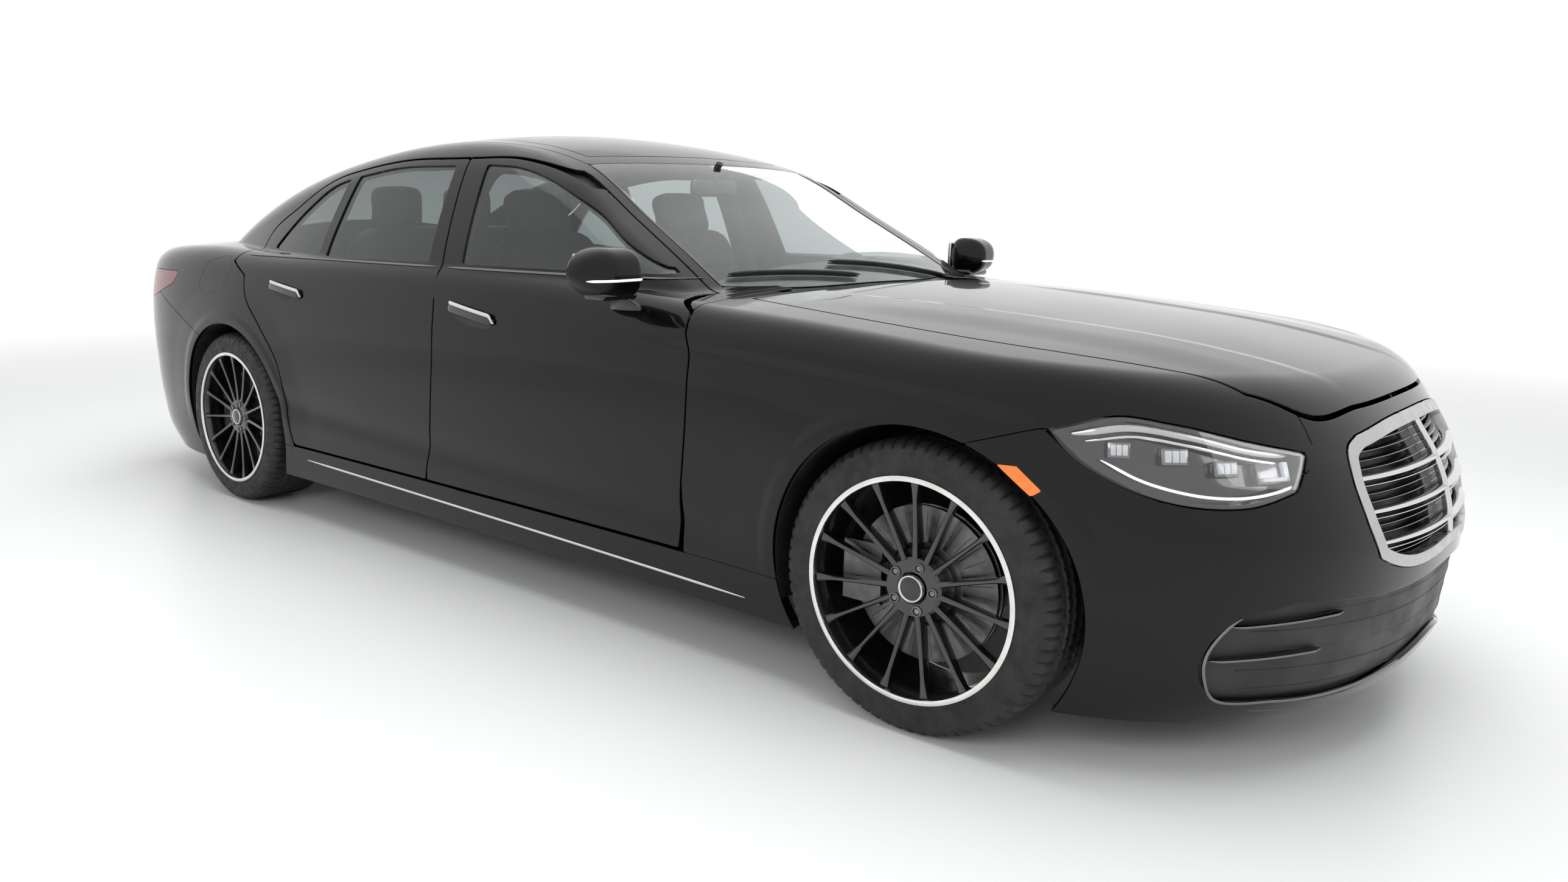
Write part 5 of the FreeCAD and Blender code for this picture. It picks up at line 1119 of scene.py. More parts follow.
# ---------------------------------------------------------------- points on the skin
def shot(field, places, direction, proud):
    """Points where rays leave the skin, stood proud of it, and its normals."""
    start = np.stack(np.broadcast_arrays(*(np.asarray(c, float) for c in places)), 1)
    p = meet(field, start, np.tile(np.asarray(direction, float), (len(start), 1)))
    n, _ = slope(field, p)
    return p + n * proud, n


def flank_at(ys, zs, field=body_field, proud=0.0):
    return shot(field, (0.3, ys, zs), (1, 0, 0), proud)


def end_at(xs, zs, facing=-1, proud=0.0):
    """On the nose, facing -1, or the tail, facing 1."""
    return shot(body_field, (xs, along(-2 if facing < 0 else 102), zs), (0, facing, 0), proud)


def top_at(xs, ys, proud=0.0):
    return shot(cabin_field, (xs, ys, up(50)), (0, 0, 1), proud)


def ribbon(points, normals, width, height, count=12, power=2.6, taper=True, closed_loop=False):
    """A moulding along a line on the skin: width lies in the skin, height stands off it."""
    points, normals = np.asarray(points), np.asarray(normals)
    t = np.roll(points, -1, 0) - np.roll(points, 1, 0) if closed_loop else np.gradient(points, axis=0)
    t /= np.linalg.norm(t, axis=1, keepdims=True)
    s = np.cross(t, normals)
    s /= np.linalg.norm(s, axis=1, keepdims=True)
    shape = oval(width, height, count, power)
    m = len(points)
    end = np.minimum(np.arange(m), np.arange(m)[::-1]) / max(2.0, m * 0.08)
    size = np.sqrt(np.clip(end + 0.08, 0, 1)) if taper and not closed_loop else np.ones(m)
    rows = [points[i] + size[i] * (np.outer(shape[:, 0], s[i]) + np.outer(shape[:, 1], normals[i])) for i in range(m)]
    return ring_mesh(rows, close=closed_loop)


def facing_out(mesh, point, normal):
    """Turns a mesh, made with its face towards -Y, to look along a normal at a point."""
    v, f = mesh
    n = np.asarray(normal, float)
    n = n / np.linalg.norm(n)
    side = np.cross([0, 0, 1.0], n)
    side /= np.linalg.norm(side)
    high = np.cross(n, side)
    v = np.asarray(v)
    return np.outer(v[:, 0], side) - np.outer(v[:, 1], n) + np.outer(v[:, 2], high) + np.asarray(point), f


# ---------------------------------------------------------------- wheels and tyres
SPOKES, BOLTS, VENTS = 15, 5, 36
RIM_RADIUS, SIDE_CUTS, TREAD_PITCH = 0.268, 360, 5


def spoke_mesh(half):
    """One spoke of a left wheel, pointing up from the wheel's middle."""
    rows = []
    for t in np.linspace(0, 1, 15):
        r = 0.052 + 0.206 * t
        front = half - 0.031 + 0.020 * t ** 1.6
        wide = 0.0105 + 0.006 * (1 - t) ** 3 + 0.012 * max(0, t - 0.8) / 0.2 * t
        deep = 0.040 - 0.016 * t
        w = wide / 2
        rows.append([(front - 0.003, -w, r), (front, -w * 0.55, r), (front, w * 0.55, r), (front - 0.003, w, r),
                     (front - deep * 0.6, w * 1.25, r), (front - deep, w * 0.9, r), (front - deep, -w * 0.9, r),
                     (front - deep * 0.6, -w * 1.25, r)])
    return ring_mesh(rows)


def turned(mesh, angle):
    v, f = mesh
    c, s = math.cos(angle), math.sin(angle)
    return np.asarray(v) @ np.array([[1, 0, 0], [0, c, -s], [0, s, c]]).T, f


def moved(mesh, by):
    return np.asarray(mesh[0]) + np.asarray(by, float), mesh[1]


def inset(h, rows):
    """A profile whose places are measured in from the wheel's outer face."""
    return [(h - depth, radius) for depth, radius in rows]


BARREL_FACE = [(0.009, 0.2610), (0.018, 0.2570), (0.050, 0.2500)]
BARREL_BACK = [(0.04, 0.2520), (0.012, 0.2600), (0.003, 0.2680), (0.010, 0.2690), (0.016, 0.2630), (0.045, 0.2560)]
BARREL_SEAT = [(0.050, 0.2540), (0.024, 0.2620), (0.014, 0.2660)]
CENTRE = [(0.075, 0.070), (0.036, 0.074), (0.030, 0.068), (0.029, 0.040), (0.033, 0.036), (0.060, 0.034),
          (0.075, 0.034)]
LIP = [(0.009, 0.2612), (0.003, 0.2590), (-0.0010, 0.2602), (-0.0022, 0.2640), (-0.0022, 0.2690), (-0.0008, 0.2722),
       (0.004, 0.2724), (0.010, 0.2680)]
BOLT_CUP = [(0.034, 0.0125), (0.026, 0.0125), (0.024, 0.0110), (0.024, 0.0098), (0.034, 0.0095)]
BOLT_HEAD = [(0.040, 0.0080), (0.029, 0.0080), (0.027, 0.0068), (0.027, 0.0002), (0.040, 0.0002)]
BOLT_CIRCLE = 0.055
CAP_RING = [(0.050, 0.0335), (0.025, 0.0335), (0.021, 0.0318), (0.0205, 0.0290), (0.0225, 0.0275), (0.050, 0.0275)]
CAP_FACE = [(0.050, 0.0275), (0.0235, 0.0275), (0.0215, 0.020), (0.0205, 0.010), (0.0202, 0.0002), (0.050, 0.0002)]
DISC = [(0.012, 0.190), (0.022, 0.190), (0.024, 0.184), (0.032, 0.184), (0.034, 0.190), (0.044, 0.190),
        (0.0445, 0.188), (0.0445, 0.102), (0.050, 0.096)]
DISC_HAT, DISC_HAT_RADIUS, DISC_BORE, DISC_INNER = 0.066, 0.090, 0.0185, 0.012
AXLE = (0, 0, 0)


def make_wheels():
    for end, hub, width, radius in (("front", FRONT_HUB, 0.255, 0.356), ("rear", REAR_HUB, 0.285, 0.354)):
        h = width / 2
        bodies = (f"{end}_left_wheel", f"{end}_right_wheel")
        wheels = ((f"{end}_wheel_left",), (f"{end}_wheel_right",))
        barrel = lathe(inset(h, BARREL_FACE) + [(0.0, 0.2470)] + [(-h + depth, r) for depth, r in BARREL_BACK]
                       + [(0.0, 0.2510)] + inset(h, BARREL_SEAT), AXLE, 120)
        spokes = [turned(spoke_mesh(h), a) for a in circle(SPOKES)]
        centre = lathe(inset(h, CENTRE), AXLE, 90)
        pair(f"{end}_rim", *moved(join(barrel, centre, *spokes), hub), wheel_black, bodies, "wheel", stands_for=wheels)
        pair(f"{end}_rim_edge", *lathe(inset(h, LIP), hub, 144), machined, bodies, "wheel")
        bolts = []
        for a in circle(BOLTS) + math.pi / BOLTS:
            place = (0, BOLT_CIRCLE * math.cos(a), BOLT_CIRCLE * math.sin(a))
            bolts += [moved(lathe(inset(h, rows), AXLE, count), place)
                      for rows, count in ((BOLT_CUP, 24), (BOLT_HEAD, 6))]
        pair(f"{end}_wheel_bolts", *moved(join(*bolts), hub), cast, bodies, "metal")
        pair(f"{end}_cap_ring", *lathe(inset(h, CAP_RING), hub, 64), chrome, bodies, "chrome")
        pair(f"{end}_cap_face", *lathe(inset(h, CAP_FACE), hub, 64), gloss_black, bodies, "wheel")
        hat = inset(h, [(DISC_HAT, DISC_HAT_RADIUS), (DISC_HAT, DISC_BORE)])
        disc = lathe(DISC + hat + [(DISC_INNER, DISC_BORE)], AXLE, 120)
        # The disc's darker steel is painted shade.
        pair(f"{end}_brake_disc", *moved(disc, hub), shade_darkened_steel, bodies, "metal")
        slots = [turned(block((0.0435, -0.0012, 0.115), (0.0446, 0.0012, 0.180), 0.0005, 1), a) for a in circle(VENTS)]
        pair(f"{end}_disc_vents", *moved(join(*slots), hub), satin, bodies, "metal")
        make_tyre(end, hub, h, radius, bodies)


SIDE_WALL = [(0.010, 0.2660), (0.004, 0.2680), (0.0015, 0.2725), (-0.0002, 0.2790), (0.0014, 0.2815),
             (0.0008, 0.2900), (-0.0002, 0.3000), (0.0008, 0.3020), (0.0012, 0.3130), (0.0032, 0.3240),
             (0.0062, 0.3330), (0.0066, 0.3345), (0.0110, 0.3420), (0.0165, 0.3475), (0.0230, 0.3512),
             (0.0310, 0.3535)]
GROOVES = (-0.60, -0.2, 0.2, 0.60)


def make_tyre(end, hub, h, radius, bodies):
    """A low tyre with a moulded sidewall, four grooves round it and cut shoulders."""
    k = (radius - RIM_RADIUS) / 0.088
    wall = inset(h, SIDE_WALL)
    tread = []
    for x in np.linspace(h - 0.040, -h + 0.040, 33):
        u = x / (h - 0.04)
        groove = any(abs(u - c) < 0.055 for c in GROOVES)
        tread.append((x, 0.3558 - 0.0014 * abs(u) ** 3 - (0.0065 if groove else 0)))
    profile = wall + tread + [(-x, r) for x, r in reversed(wall)]
    inner = [(-h + 0.012, 0.2672), (-h + 0.016, 0.300), (-h + 0.03, 0.335), (0, 0.342), (h - 0.03, 0.335),
             (h - 0.016, 0.300), (h - 0.012, 0.2672)]
    profile = [(x, RIM_RADIUS + (r - RIM_RADIUS) * k) for x, r in profile + inner]
    a = circle(SIDE_CUTS)
    cut = (np.arange(SIDE_CUTS) % TREAD_PITCH == 0).astype(float)
    half_cut = (np.arange(SIDE_CUTS) % TREAD_PITCH == 2).astype(float)
    rows = []
    for x, r in profile:
        outer = r > RIM_RADIUS + 0.0715 * k
        shoulder = outer and abs(x) > h * 0.52
        depth = 0.0055 * cut if shoulder else (0.003 * half_cut if outer else 0 * cut)
        rr = r - (depth if r > radius - 0.02 else 0)
        rows.append(np.stack([np.full(SIDE_CUTS, x) - np.sign(x) * 0.002 * (cut if shoulder else 0), rr * np.cos(a),
                              rr * np.sin(a)], 1) + np.array(hub))
    v, f = ring_mesh(rows, close=True, caps=False)
    pair(f"{end}_tyre_tread", v, f, rubber, bodies, "tyre",
         stands_for=((f"{end}_tyre_left",), (f"{end}_tyre_right",)), smooth=math.radians(40))


make_wheels()

# ---------------------------------------------------------------- grille
GRILLE_BAND = 0.026
LOUVRES = (35.2, 39.8, 44.4)


def grille_half(z):
    xs = np.linspace(0, 0.5, 400)
    g = inside(grille_front, xs, np.full(400, z))
    return float(xs[g > GRILLE_BAND * 0.6].max())


nose_chart = sweep(-1, -40, 40, 29, 53.5, 0.008)
in_grille = front_in(grille_front)
panel("grille_frame", body_field, nose_chart, [more(in_grille, 0.0015 + ROLL), lambda p: GRILLE_BAND - in_grille(p),
                                               less(plan_in(bonnet_plan), 0.004)],
      material=satin_chrome, slot="chrome", depth=0.026, top=-0.004, stands_for=("grille",))
panel("grille_back", body_field, sweep(-1, -40, 40, 30, 52, 0.02), [more(in_grille, 0.004)], material=satin,
      slot="trim", depth=0.006, top=0.062, roll=0.001)


def across_nose(z, half, deep, width, height, count=41):
    xs = np.linspace(-half, half, count)
    p, n = end_at(xs, z)
    inward = n * np.array([1, 1, 0])
    inward /= np.linalg.norm(inward, axis=1, keepdims=True)
    return ribbon(p - inward * deep, inward, height, width, taper=False)


louvres, thin, slats = [], [], []
for level in LOUVRES:
    z = up(level)
    louvres.append(across_nose(z, grille_half(z), 0.010, 0.024, 0.0105))
    thin.append(across_nose(z - 0.017, grille_half(z - 0.017), 0.014, 0.016, 0.004))
for z in np.linspace(up(32.6), up(49.6), 16):
    if min(abs(z - up(level) + 0.006) for level in LOUVRES) > 0.013:
        slats.append(across_nose(z, grille_half(z), 0.034, 0.020, 0.0045))
add("grille_louvres", *join(*louvres, *thin), chrome, CAR, "chrome")
add("grille_slats", *join(*slats), dark_chrome, CAR, "trim")
p, n = end_at(0, np.linspace(up(31.9), up(50.2), 30))
add("grille_spine", *ribbon(p - np.array([0, -1, 0]) * 0.006, n, 0.010, 0.020, taper=False), chrome, CAR, "chrome")
sensor = allof(within_x(0.085), beyond(2, up(33)), beyond(2, up(50), -1))
panel("grille_sensor", body_field, sweep(-1, -8, 8, 32, 51, 0.012), [sensor], material=metal_look(
    "sensor_grey", (0.12, 0.12, 0.115), 0.5), slot="trim", depth=0.01, top=0.024)

# ---------------------------------------------------------------- lower intake
slots_low = []
for level, reach in ((14.6, 68), (17.6, 70), (20.6, 70), (23.6, 69), (26.2, 60)):
    z, half = up(level), across(reach)
    slots_low.append(across_nose(z, half, 0.020, 0.012, 0.004, 61))
for x in np.linspace(-0.5, 0.5, 41):
    p, n = end_at(x, np.linspace(up(17.2), up(27.5), 6), -1, -0.024)
    slots_low.append(ribbon(p, n, 0.003, 0.006, 6, 2, False))
add("intake_mesh", *join(*slots_low), satin, CAR, "trim")
rim_run = run_of(((70, 26.9), (72.6, 25.2), (75.6, 18), (72.4, 13.4), (60, 12.4), (40, 12.6), (18, 14.6)), across, up)
p, n = end_at(*rim_run.T, -1, -0.003)
pair("intake_rim", *ribbon(p, n, 0.008, 0.009), dark_chrome, BOTH, "chrome")
blades = []
for (x0, z0), (x1, z1) in (((73.0, 24.6), (50, 26.0)), ((75.0, 19.4), (54, 20.6))):
    p, n = end_at(np.linspace(across(x0), across(x1), 24), np.linspace(up(z0), up(z1), 24), -1, -0.006)
    blades.append(ribbon(p, n, 0.008, 0.024))
pair("intake_blades", *join(*blades), dark_chrome, BOTH, "chrome")
lip_x = np.linspace(-across(74), across(74), 81)
lip_z = up(10.4) + 0.018 * step((np.abs(lip_x) - 0.50) / 0.25)
p, n = end_at(lip_x, lip_z, -1, -0.014)
add("front_lip", *ribbon(p, n, 0.014, 0.030), gloss_black, CAR, "trim")

# ---------------------------------------------------------------- headlamps
LEFT_HALF = beyond(0, 0.3)
lamp_chart = sweep(-1, 28, 94, 40, 55.5, 0.008)
for name, tests, look, slot, depth, top, roll, nodes in (
        ("lamp_cover", [more(headlamp_in, 0.0025)], lamp_glass, "glass", 0.0025, 0.0, 0.0008, ("headlamps",)),
        ("lamp_bowl", [more(headlamp_in, -0.010)], gloss_black, "lamp", 0.004, 0.044, 0.001, ()),
        ("lamp_bezel", [more(headlamp_in, 0.0035), less(headlamp_in, -0.0085)], gloss_black, "lamp", 0.035, 0.004,
         0.001, ())):
    panel(name, body_field, lamp_chart, [*tests, LEFT_HALF], material=look, slot=slot, bodies=BOTH, depth=depth,
          top=top, stands_for=(nodes, ()), roll=roll)
for name, points, deep, width, height, look in (
        ("lamp_brow", [(59.5, 48.6), (68, 49.5), (78, 51.5), (86, 52.4), (92.2, 51.2)], 0.016, 0.017, 0.010,
         satin_chrome),
        ("lamp_brow_low", [(60.5, 47.6), (68, 48.5), (78, 50.3), (86, 51.2), (91.0, 50.3)], 0.026, 0.008, 0.008,
         chrome),
        ("lamp_daylight", [(60.5, 44.6), (66, 43.6), (73, 43.0), (80, 43.5), (86, 45.2), (90, 47.8)], 0.011, 0.0065,
         0.006, white_lens)):
    pair(name, *ribbon(*end_at(*run_of(points, across, up).T, -1, -deep), width, height), look, BOTH, "lamp")


def make_lamp_modules():
    """Three modules of three lenses each, and a hooked one at the inner end."""
    modules, lenses = [], []

    def set_in(place, deep):
        (p,), (n,) = end_at([across(place[0])], [up(place[1])], -1, -deep)
        return lambda low, high, bevel: facing_out(block(low, high, bevel, 2), p, n)

    for place, w, t in (((87.5, 49.3), 0.018, 0.012), ((80.2, 48.7), 0.023, 0.013), ((72.4, 47.2), 0.022, 0.012)):
        put = set_in(place, 0.022)
        modules.append(put((-w - 0.005, 0.002, -t - 0.005), (w + 0.005, 0.020, t + 0.005), 0.003))
        for c in (-w / 1.5, 0, w / 1.5):
            lenses.append(put((c - w / 3.3, -0.004, -t), (c + w / 3.3, 0.006, t), 0.0025))
    put = set_in((63.6, 46.4), 0.020)
    modules.append(put((-0.040, 0.003, -0.022), (0.040, 0.020, 0.026), 0.004))
    lenses.append(put((-0.034, -0.006, -0.018), (-0.020, 0.006, 0.024), 0.003))
    lenses.append(put((-0.034, -0.006, -0.018), (0.034, 0.006, -0.008), 0.003))
    pair("lamp_modules", *join(*modules), dark_chrome, BOTH, "lamp")
    pair("lamp_lenses", *join(*lenses), lamp_lens, BOTH, "lamp")


make_lamp_modules()
marker = closed([[(-20.9, 48.9), (-24, 48.3)], [(-24, 48.3), (-34.1, 42.9)], [(-34.1, 42.9), (-32.0, 42.0)],
                 [(-32.0, 42.0), (-22.0, 47.0)], [(-22.0, 47.0), (-20.9, 48.9)]], along, up)
panel("side_marker", body_field, fan(-38, -16, -20, 0, 0.005, across(50), up(46)), [side_in(marker)], material=amber,
      slot="lamp", bodies=BOTH, depth=0.004, top=-0.0025, roll=0.0012)

# ---------------------------------------------------------------- tail
EXHAUST_X, EXHAUST_Z = 0.508, 0.225
EXHAUST_HALF = (0.100, 0.040)


def off_exhaust(side):
    return lambda p: np.maximum(np.abs(p[:, 0] - side * EXHAUST_X) - EXHAUST_HALF[0],
                                np.abs(p[:, 2] - EXHAUST_Z) - EXHAUST_HALF[1])


panel("tail_lens", body_field, sweep(1, 24, 94, 50, 66, 0.009), [more(tail_lamp_in, 0.0025), LEFT_HALF],
      material=red_glass, slot="red_lamp", bodies=BOTH, depth=0.012, stands_for=(("tail_lamps",), ()), roll=0.002)
bars = [ribbon(*end_at(np.linspace(across(60), across(88), 24), up(level), 1, 0.0004), 0.003, 0.003)
        for level in (56.0, 58.0, 60.0)]
pair("tail_light_bars", *join(*bars), chrome_look("lens_lines", (0.5, 0.05, 0.05), 0.2), BOTH, "red_lamp")
strip_run = end_at(np.linspace(-across(56), across(56), 61), up(59.2), 1, 0.001)
add("lid_strip", *ribbon(*strip_run, 0.014, 0.008), chrome, "boot_lid", "chrome")
(p,), (n,) = end_at([0.0], [up(52.5)], 1, 0.002)
plate = block((-0.26, -0.003, -0.055), (0.26, 0.003, 0.055), 0.003, 2)
add("rear_plate", *facing_out(plate, p, n), blank_plate, "boot_lid", "trim")
panel("rear_diffuser", body_field, sweep(1, -60, 60, 8.6, 24, 0.014),
      [beyond(2, up(9.0)), lambda p: up(20) + 0.03 * (np.abs(p[:, 0]) / 0.6) ** 2 - p[:, 2], within_x(0.70),
       off_exhaust(-1), off_exhaust(1)], material=satin, slot="trim", depth=0.004, top=-0.0012, roll=0.001)
a = circle(48)
c, s = np.cos(a), np.sin(a)
loop_x = np.sign(c) * np.abs(c) ** 0.5 * 0.099 + EXHAUST_X
loop_z = np.sign(s) * np.abs(s) ** 0.5 * 0.039 + EXHAUST_Z
loop = end_at(loop_x, loop_z, 1)[0] + np.array([0, 0.001, 0])
ring = ribbon(loop, np.tile([0, 1.0, 0], (48, 1)), 0.009, 0.020, closed_loop=True)
pair("exhaust_trim", *ring, chrome, BOTH, "chrome")
# The reflector shares the red lens material, so it glows faintly though it is no lamp: a painted glow.
reflector = end_at(np.linspace(across(66), across(84), 16), up(29), 1, 0.001)
pair("rear_reflector", *ribbon(*reflector, 0.012, 0.005), red_glass, BOTH, "red_lamp")

# ---------------------------------------------------------------- flank trim
sill_run = flank_at(np.linspace(-1.2665, 0.9095, 90), np.linspace(0.212, 0.250, 90), body_field, 0.001)
pair("sill_strip", *ribbon(*sill_run, 0.009, 0.007), chrome, BOTH, "chrome")
# For each door: the belt strip's reach in shares, and the handle's ends in metres.
HANDLES = {"front": ((27.2, 56.4), (-0.262, 0.873), (-0.022, 0.907)),
           "rear": ((58.2, 97.0), (0.874, 0.892), (1.108, 0.921))}
DISH_HALF = (0.108, 0.026)


def make_handles():
    c, s = np.cos(circle(48)), np.sin(circle(48))
    for end, (belt, (y0, z0), (y1, z1)) in HANDLES.items():
        bodies = DOOR_BODIES[end]
        run = flank_at(np.linspace(along(belt[0]), along(belt[1]), 60), up(68.6), whole_field, 0.0015)
        pair(f"{end}_belt_strip", *ribbon(*run, 0.008, 0.005), dark_chrome, bodies, "trim")
        t = np.linspace(0, 1, 40)
        ys, zs = y0 + (y1 - y0) * t, z0 + (z1 - z0) * t
        arc = np.sin(math.pi * t) ** 0.6
        p, n = flank_at(ys, zs)
        pair(f"{end}_handle_grip", *ribbon(p + n * (0.004 + 0.010 * arc)[:, None], n, 0.026, 0.014), gloss_black,
             bodies, "trim")
        q, m = flank_at(ys, zs + 0.0155 - 0.020 * (1 - step(t / 0.10)))
        pair(f"{end}_handle_strip", *ribbon(q + m * (0.006 + 0.0125 * arc)[:, None], m, 0.0125, 0.009), chrome,
             bodies, "chrome")
        wide, tall = DISH_HALF
        dish = np.stack([(y0 + y1) / 2 + wide * c, (z0 + z1) / 2 - 0.010 + tall * s + (z1 - z0) / (y1 - y0) * wide * c],
                        1)
        y_low, y_high = (y0 - 0.02 - FRONT_AXLE) / WHEELBASE * 100, (y1 + 0.02 - FRONT_AXLE) / WHEELBASE * 100
        panel(f"{end}_handle_dish", body_field, fan(y_low, y_high, -10, 22, 0.006), [side_in(dish)], material=satin,
              slot="trim", bodies=bodies, depth=0.002, top=-0.0008, roll=0.0005)


make_handles()
flap = smooth_run([(112.1, 67.1), (101.4, 67.3), (99.5, 65.8), (100.4, 62.6), (103.5, 59.0), (106.5, 58.3), 
                   (118.4, 58.5), (119.8, 59.6), (118.8, 62.4), (116.6, 65.6), (112.1, 67.1)])
p, n = flank_at(along(flap[:-1, 0]), up(flap[:-1, 1]), whole_field, -0.0002)
v, f, _ = mirrored(*ribbon(p, n, 0.0028, 0.0016, 6, 2, closed_loop=True))
add("fuel_flap_line", v, f, satin, CAR, "trim")

# ---------------------------------------------------------------- mirrors
def make_mirror():
    """A rounded shell that tapers outwards, on a foot that stands on the door."""
    mirror_low, mirror_high = (np.array(corner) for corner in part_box("mirror_left"))
    bodies = DOOR_BODIES["front"]
    x0, x1 = mirror_low[0] + 0.012, mirror_high[0]
    yc = (mirror_low[1] + mirror_high[1]) / 2 + 0.018
    top, foot = mirror_high[2], mirror_high[2] - 0.148
    zc = (top + foot) / 2
    a = circle(40)
    c, d = np.cos(a), np.sin(a)

    def fullness(t):
        inner = math.sin(min(1, t / 0.22) * math.pi / 2) ** 0.55
        return inner * math.cos(max(0, (t - 0.55) / 0.45) * math.pi / 2 * 0.97) ** 0.5

    rows = []
    for t in np.linspace(0, 1, 22):
        s = max(fullness(t), 0.05)
        y = np.where(c < 0, 0.096, 0.052) * np.sign(c) * np.abs(c) ** 0.80 * s
        z = 0.074 * np.sign(d) * np.abs(d) ** 0.82 * s * (1 - 0.10 * t) - 0.008 * (1 - t)
        rows.append(np.stack([np.full(40, x0 + (x1 - x0) * t), yc + y + 0.022 * t, zc + z], 1))
    pair("mirror_shell", *ring_mesh(rows), paint, bodies, "paint", stands_for=(("mirror_left",), ("mirror_right",)))
    line_p = np.array([(x0 + (x1 - x0) * t, yc - 0.096 * fullness(t) * 0.985 + 0.022 * t, zc - 0.020 - 0.004 * t)
                       for t in np.linspace(0.14, 0.93, 26)])
    nn = np.tile([0.0, -1.0, 0.0], (len(line_p), 1))
    nn[:, 0] = np.linspace(-0.1, 0.9, len(line_p))
    nn /= np.linalg.norm(nn, axis=1, keepdims=True)
    pair("mirror_indicator", *ribbon(line_p, nn, 0.0075, 0.010), white_lens, bodies, "lamp")
    lower = block((-0.07, -0.045, -0.013), (0.07, 0.035, 0.013), 0.012, 4)
    root = up(63.2)
    rows = []
    for t in np.linspace(0, 1, 12):
        x = mirror_low[0] + 0.012 + 0.055 * t ** 1.5
        wide, deep = 0.030 + 0.014 * (1 - t), 0.052 + 0.020 * (1 - t)
        z = root + (foot + 0.006 - root) * t
        rows.append(np.stack([x + wide * 0.9 * c, yc + deep * d * 0.8, np.full(40, z)], 1))
    pair("mirror_foot", *join(moved(lower, (x0 + 0.075, yc - 0.004, foot + 0.008)), ring_mesh(rows)), gloss_black,
         bodies, "trim")
    plate = block((x0 + 0.016, yc + 0.044, foot + 0.026), (x1 - 0.040, yc + 0.058, top - 0.026), 0.012, 4)
    pair("mirror_plate", *plate, chrome, bodies, "glass")


make_mirror()

# ---------------------------------------------------------------- cowl, wipers and rear shelf strip
panel("cowl", whole_field, plan(-74, 74, 17.8, 27.0, 55, 0.02), [within_x(0.72)], material=satin,
      slot="trim", depth=0.004, top=0.022, roll=0.001)
panel("deck_filler", whole_field, plan(-70, 70, 131, 147, 55, 0.02), [within_x(0.69)],
      material=gloss_black, slot="trim", depth=0.004, top=0.0125, roll=0.001)
wipers = []
for x0, x1, y0, y1 in ((0.50, -0.13, 23.9, 25.9), (-0.06, -0.60, 23.6, 26.6)):
    xs = np.linspace(x0, x1, 30)
    ys = np.linspace(along(y0), along(y1), 30)
    for proud, wide, high in ((0.013, 0.010, 0.012), (0.005, 0.004, 0.010)):
        wipers.append(ribbon(*top_at(xs, ys, proud), wide, high))
add("wipers", *join(*wipers), satin, CAR, "trim")
p, n = top_at(*run_of([(57.6, 45.6), (62.5, 35.6), (66.5, 26.0)], across, along).T, 0.0005)
pair("screen_edge", *ribbon(p, n, 0.007, 0.004), dark_chrome, BOTH, "trim")

# ---------------------------------------------------------------- door seals
panel("rail_seal", cabin_field, fan(22.4, 128, 14, 88, 0.016),
      [lambda p: 0.125 - np.abs(p[:, 0]) + rail_edge(p), off_rail(0.004), beyond(2, up(66))], material=satin,
      slot="trim", bodies=BOTH, depth=0.004, top=0.018, roll=0.001)

# ---------------------------------------------------------------- seats and cabin
PAD_MARGIN, PAD_SIDES, PAD_ROWS, PAD_POWER, PAD_END = 0.006, 44, 34, 4.2, 7
PRESSURE, STIFFNESS, FRAMES, MOST_MOVE, PAD_FILL = 4, 25, 20, 0.012, 0.9
SEAM_DEPTH = SEAM_WIDTH = 0.006


def loft_pad(low, high, axis, power=PAD_POWER, count=PAD_SIDES, rows=PAD_ROWS, shape=None):
    """A rounded closed form filling a box, lofted along one of its axes."""
    low, high = np.array(low, float) + PAD_MARGIN, np.array(high, float) - PAD_MARGIN
    mid, half = (low + high) / 2, (high - low) / 2
    section = oval(2, 2, count, power)
    others = [k for k in range(3) if k != axis]
    rings = []
    for t in np.sin(np.linspace(-1, 1, rows) * math.pi / 2):
        size = (1 - min(0.9995, abs(t)) ** PAD_END) ** (1 / PAD_END)
        ring = np.zeros((count, 3))
        ring[:, axis] = mid[axis] + t * half[axis]
        ring[:, others] = mid[others] + section * half[others] * size
        rings.append(ring)
    v, f = ring_mesh(rings)
    if shape:
        v = shape(v.copy(), (v - mid) / half)
    if axis == 1:
        f = [face[::-1] for face in f]
    return v, f


def applied(obj):
    """Turns what an object's modifiers make into its own mesh."""
    graph = bpy.context.evaluated_depsgraph_get()
    mesh = bpy.data.meshes.new_from_object(obj.evaluated_get(graph))
    obj.modifiers.clear()
    obj.data = mesh


def places_of(mesh):
    return np.array([q.co for q in mesh.vertices])


def swell(obj, voxel):
    """Fills a pad by cloth simulation under pressure, with a limit on how far a point may move."""
    scene = bpy.context.scene
    even = obj.modifiers.new("even", "REMESH")
    even.mode = "VOXEL"
    even.voxel_size = voxel
    applied(obj)
    start = places_of(obj.data)
    cloth = obj.modifiers.new("cloth", "CLOTH")
    cloth.settings.use_pressure = True
    cloth.settings.uniform_pressure_force = PRESSURE
    cloth.settings.effector_weights.gravity = 0
    cloth.settings.quality = 4
    cloth.settings.tension_stiffness = cloth.settings.compression_stiffness = STIFFNESS
    cloth.point_cache.frame_start, cloth.point_cache.frame_end = 1, FRAMES
    for frame_number in range(1, FRAMES + 1):
        scene.frame_set(frame_number)
    done = obj.evaluated_get(bpy.context.evaluated_depsgraph_get())
    move = places_of(done.to_mesh()) - start
    done.to_mesh_clear()
    obj.modifiers.clear()
    scene.frame_set(1)
    far = np.linalg.norm(move, axis=1, keepdims=True)
    move *= np.minimum(1, MOST_MOVE / np.maximum(far, 1e-9))
    obj.data.vertices.foreach_set("co", (start + move).ravel())


